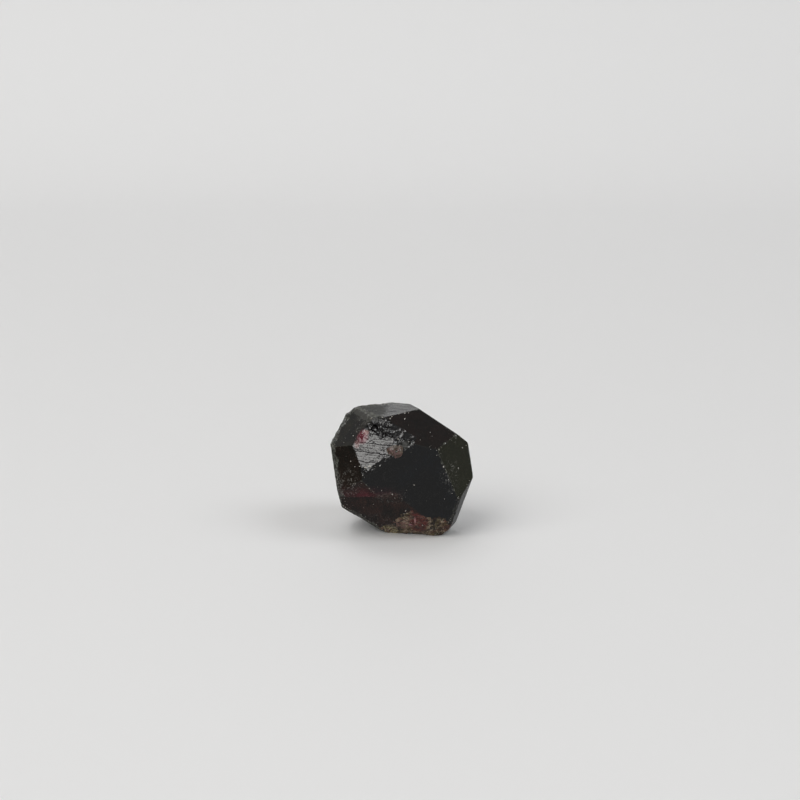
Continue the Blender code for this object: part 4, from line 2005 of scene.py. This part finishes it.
@dataclass(frozen=True)
class Softbox:
    """One square soft light."""

    name: str
    place: Shares
    size: float
    power: float
    colour: Colour = (1.0, 1.0, 1.0)

    def build(self) -> None:
        """Hangs the light, aimed at the crystal."""
        aim = LIGHT_TARGET - Vector(self.place)
        turn = aim.to_track_quat("-Z", "Y").to_euler()
        lamp = added(bpy.ops.object.light_add, type="AREA", location=self.place, rotation=turn)
        lamp.name = lamp.data.name = self.name
        lamp.data.size = self.size
        lamp.data.energy = self.power
        lamp.data.color = self.colour


@dataclass
class Studio:
    """A plain pale sweep, soft lights and the camera."""

    pale: Colour = (0.805, 0.805, 0.81)
    half_width: float = 0.42
    front: float = -1.5
    back: float = 0.3
    sweep: float = 0.16
    wall_top: float = 0.25
    # The level strip at the foot of the wall, which the floor ends at.
    strip: float = 0.001
    sweep_steps: int = 18
    camera_place: Shares = (-0.307, -276.857, 87.603)
    camera_tilt_deg: float = 15.466
    camera_lens: float = 85.0
    surround: Colour = (0.2, 0.2, 0.2)
    # The room's darker sides: axis, where it starts and ends, and colour.
    sides: tuple[tuple[int, float, float, Colour], ...] = (
        (2, 0.55, 0.85, (0.135, 0.125, 0.12)),
        (2, -0.65, -0.85, (0.15, 0.14, 0.135)),
        (0, -0.75, -0.95, (0.085, 0.08, 0.065)),
        (0, 0.6, 0.95, (0.175, 0.18, 0.14)),
    )
    softboxes: tuple[Softbox, ...] = (
        Softbox("key", (-0.54, -0.56, 0.88), 0.9, 8.3, (1.0, 0.992, 0.965)),
        Softbox("fill", (0.75, -0.3, 0.8), 0.6, 3.5, (0.97, 0.985, 1.0)),
        Softbox("above", (-0.2, 0.3, 1.1), 0.8, 2.9, (0.985, 0.995, 1.0)),
    )

    def build(self) -> None:
        """Builds the sweep, the surround, the lights and the camera."""
        material = self.paper()
        floor = self.floor()
        wall = self.wall()
        floor.visible_glossy = False
        for piece in (floor, wall):
            piece.data.materials.append(material)
        self.surroundings()
        for softbox in self.softboxes:
            softbox.build()
        self.camera()
        bpy.context.scene.view_settings.view_transform = "Standard"

    def surroundings(self) -> None:
        """Makes the dim room round the sweep: darker to the left, above and straight below."""
        world = bpy.data.worlds.new("surround")
        world.use_nodes = True
        bench = NodeBench(world.node_tree)
        parts = bench.parts(bench.add("TexCoord", {}).outputs["Generated"])
        colour: object = self.surround
        for axis, start, end, shade in self.sides:
            colour = bench.mix(bench.spread(parts[axis], start, end), colour, shade)
        bench.feed(world.node_tree.nodes["Background"].inputs[0], colour)
        bpy.context.scene.world = world

    def paper(self) -> bpy.types.Material:
        """Makes the pale matt material of the sweep.

        Returns:
            The material.
        """
        bench = MaterialBench("pale_paper")
        drift = bench.noise(bench.metres, 3.0)["Fac"]
        darker = tuple(value * 0.985 for value in self.pale)
        bench.finish(Base_Color=bench.mix(drift, darker, self.pale), Roughness=0.65)
        return bench.material

    def floor(self) -> Piece:
        """Lays the level floor, which ends where the wall's strip begins."""
        return self.sheet("floor", self.front, self.back - self.strip)

    def sheet(self, name: str, front: float, back: float) -> Piece:
        """Lays a level sheet as wide as the sweep.

        Args:
            name: The sheet's name.
            front: Place of its front edge.
            back: Place of its back edge.

        Returns:
            The sheet.
        """
        sheet = added(bpy.ops.mesh.primitive_plane_add, size=2.0)
        sheet.name = sheet.data.name = name
        for vertex in sheet.data.vertices:
            vertex.co.x *= self.half_width
            vertex.co.y = front if vertex.co.y < 0.0 else back
        return sheet

    def wall(self) -> Piece:
        """Turns a narrow strip up into the sweep and the wall behind the crystal.

        Returns:
            The wall.
        """
        wall = self.sheet("wall", self.back - self.strip, self.back)
        mesh = wall.data
        for part in (*mesh.vertices, *mesh.polygons):
            part.select = False
        for edge in mesh.edges:
            points = (mesh.vertices[index].co for index in edge.vertices)
            edge.select = all(abs(point.y - self.back) < self.strip / 2 for point in points)
        with EditMode(wall, "EDGE", keep=True):
            bpy.ops.mesh.spin(
                steps=self.sweep_steps,
                angle=math.pi / 2,
                center=(0.0, self.back, self.sweep),
                axis=(-1.0, 0.0, 0.0),
            )
            bpy.ops.mesh.extrude_region_move(
                TRANSFORM_OT_translate={"value": (0.0, 0.0, self.wall_top - self.sweep)}
            )
        for polygon in mesh.polygons:
            polygon.use_smooth = True
        return wall

    def camera(self) -> None:
        """Places the camera."""
        camera = added(
            bpy.ops.object.camera_add,
            location=(Vector(self.camera_place) + SHIFT) * MM,
            rotation=(math.radians(90.0 - self.camera_tilt_deg), 0.0, 0.0),
        )
        camera.name = camera.data.name = "camera"
        camera.data.lens = self.camera_lens
        camera.data.sensor_width = 36.0
        camera.data.clip_start = 0.01
        camera.data.clip_end = 20.0
        bpy.context.scene.camera = camera


def main() -> None:
    """Builds the crystal, its dust and the studio, in that order."""
    form = "%(relativeCreated)6d ms  %(message)s"
    logging.basicConfig(level=logging.INFO, format=form, stream=sys.stdout)
    crystal = Crystal()
    body = crystal.build()
    log.info("crystal built")
    Dust().build(body, crystal.form)
    log.info("dust built")
    Studio().build()
    log.info("studio built")


if __name__ == "__main__":
    main()
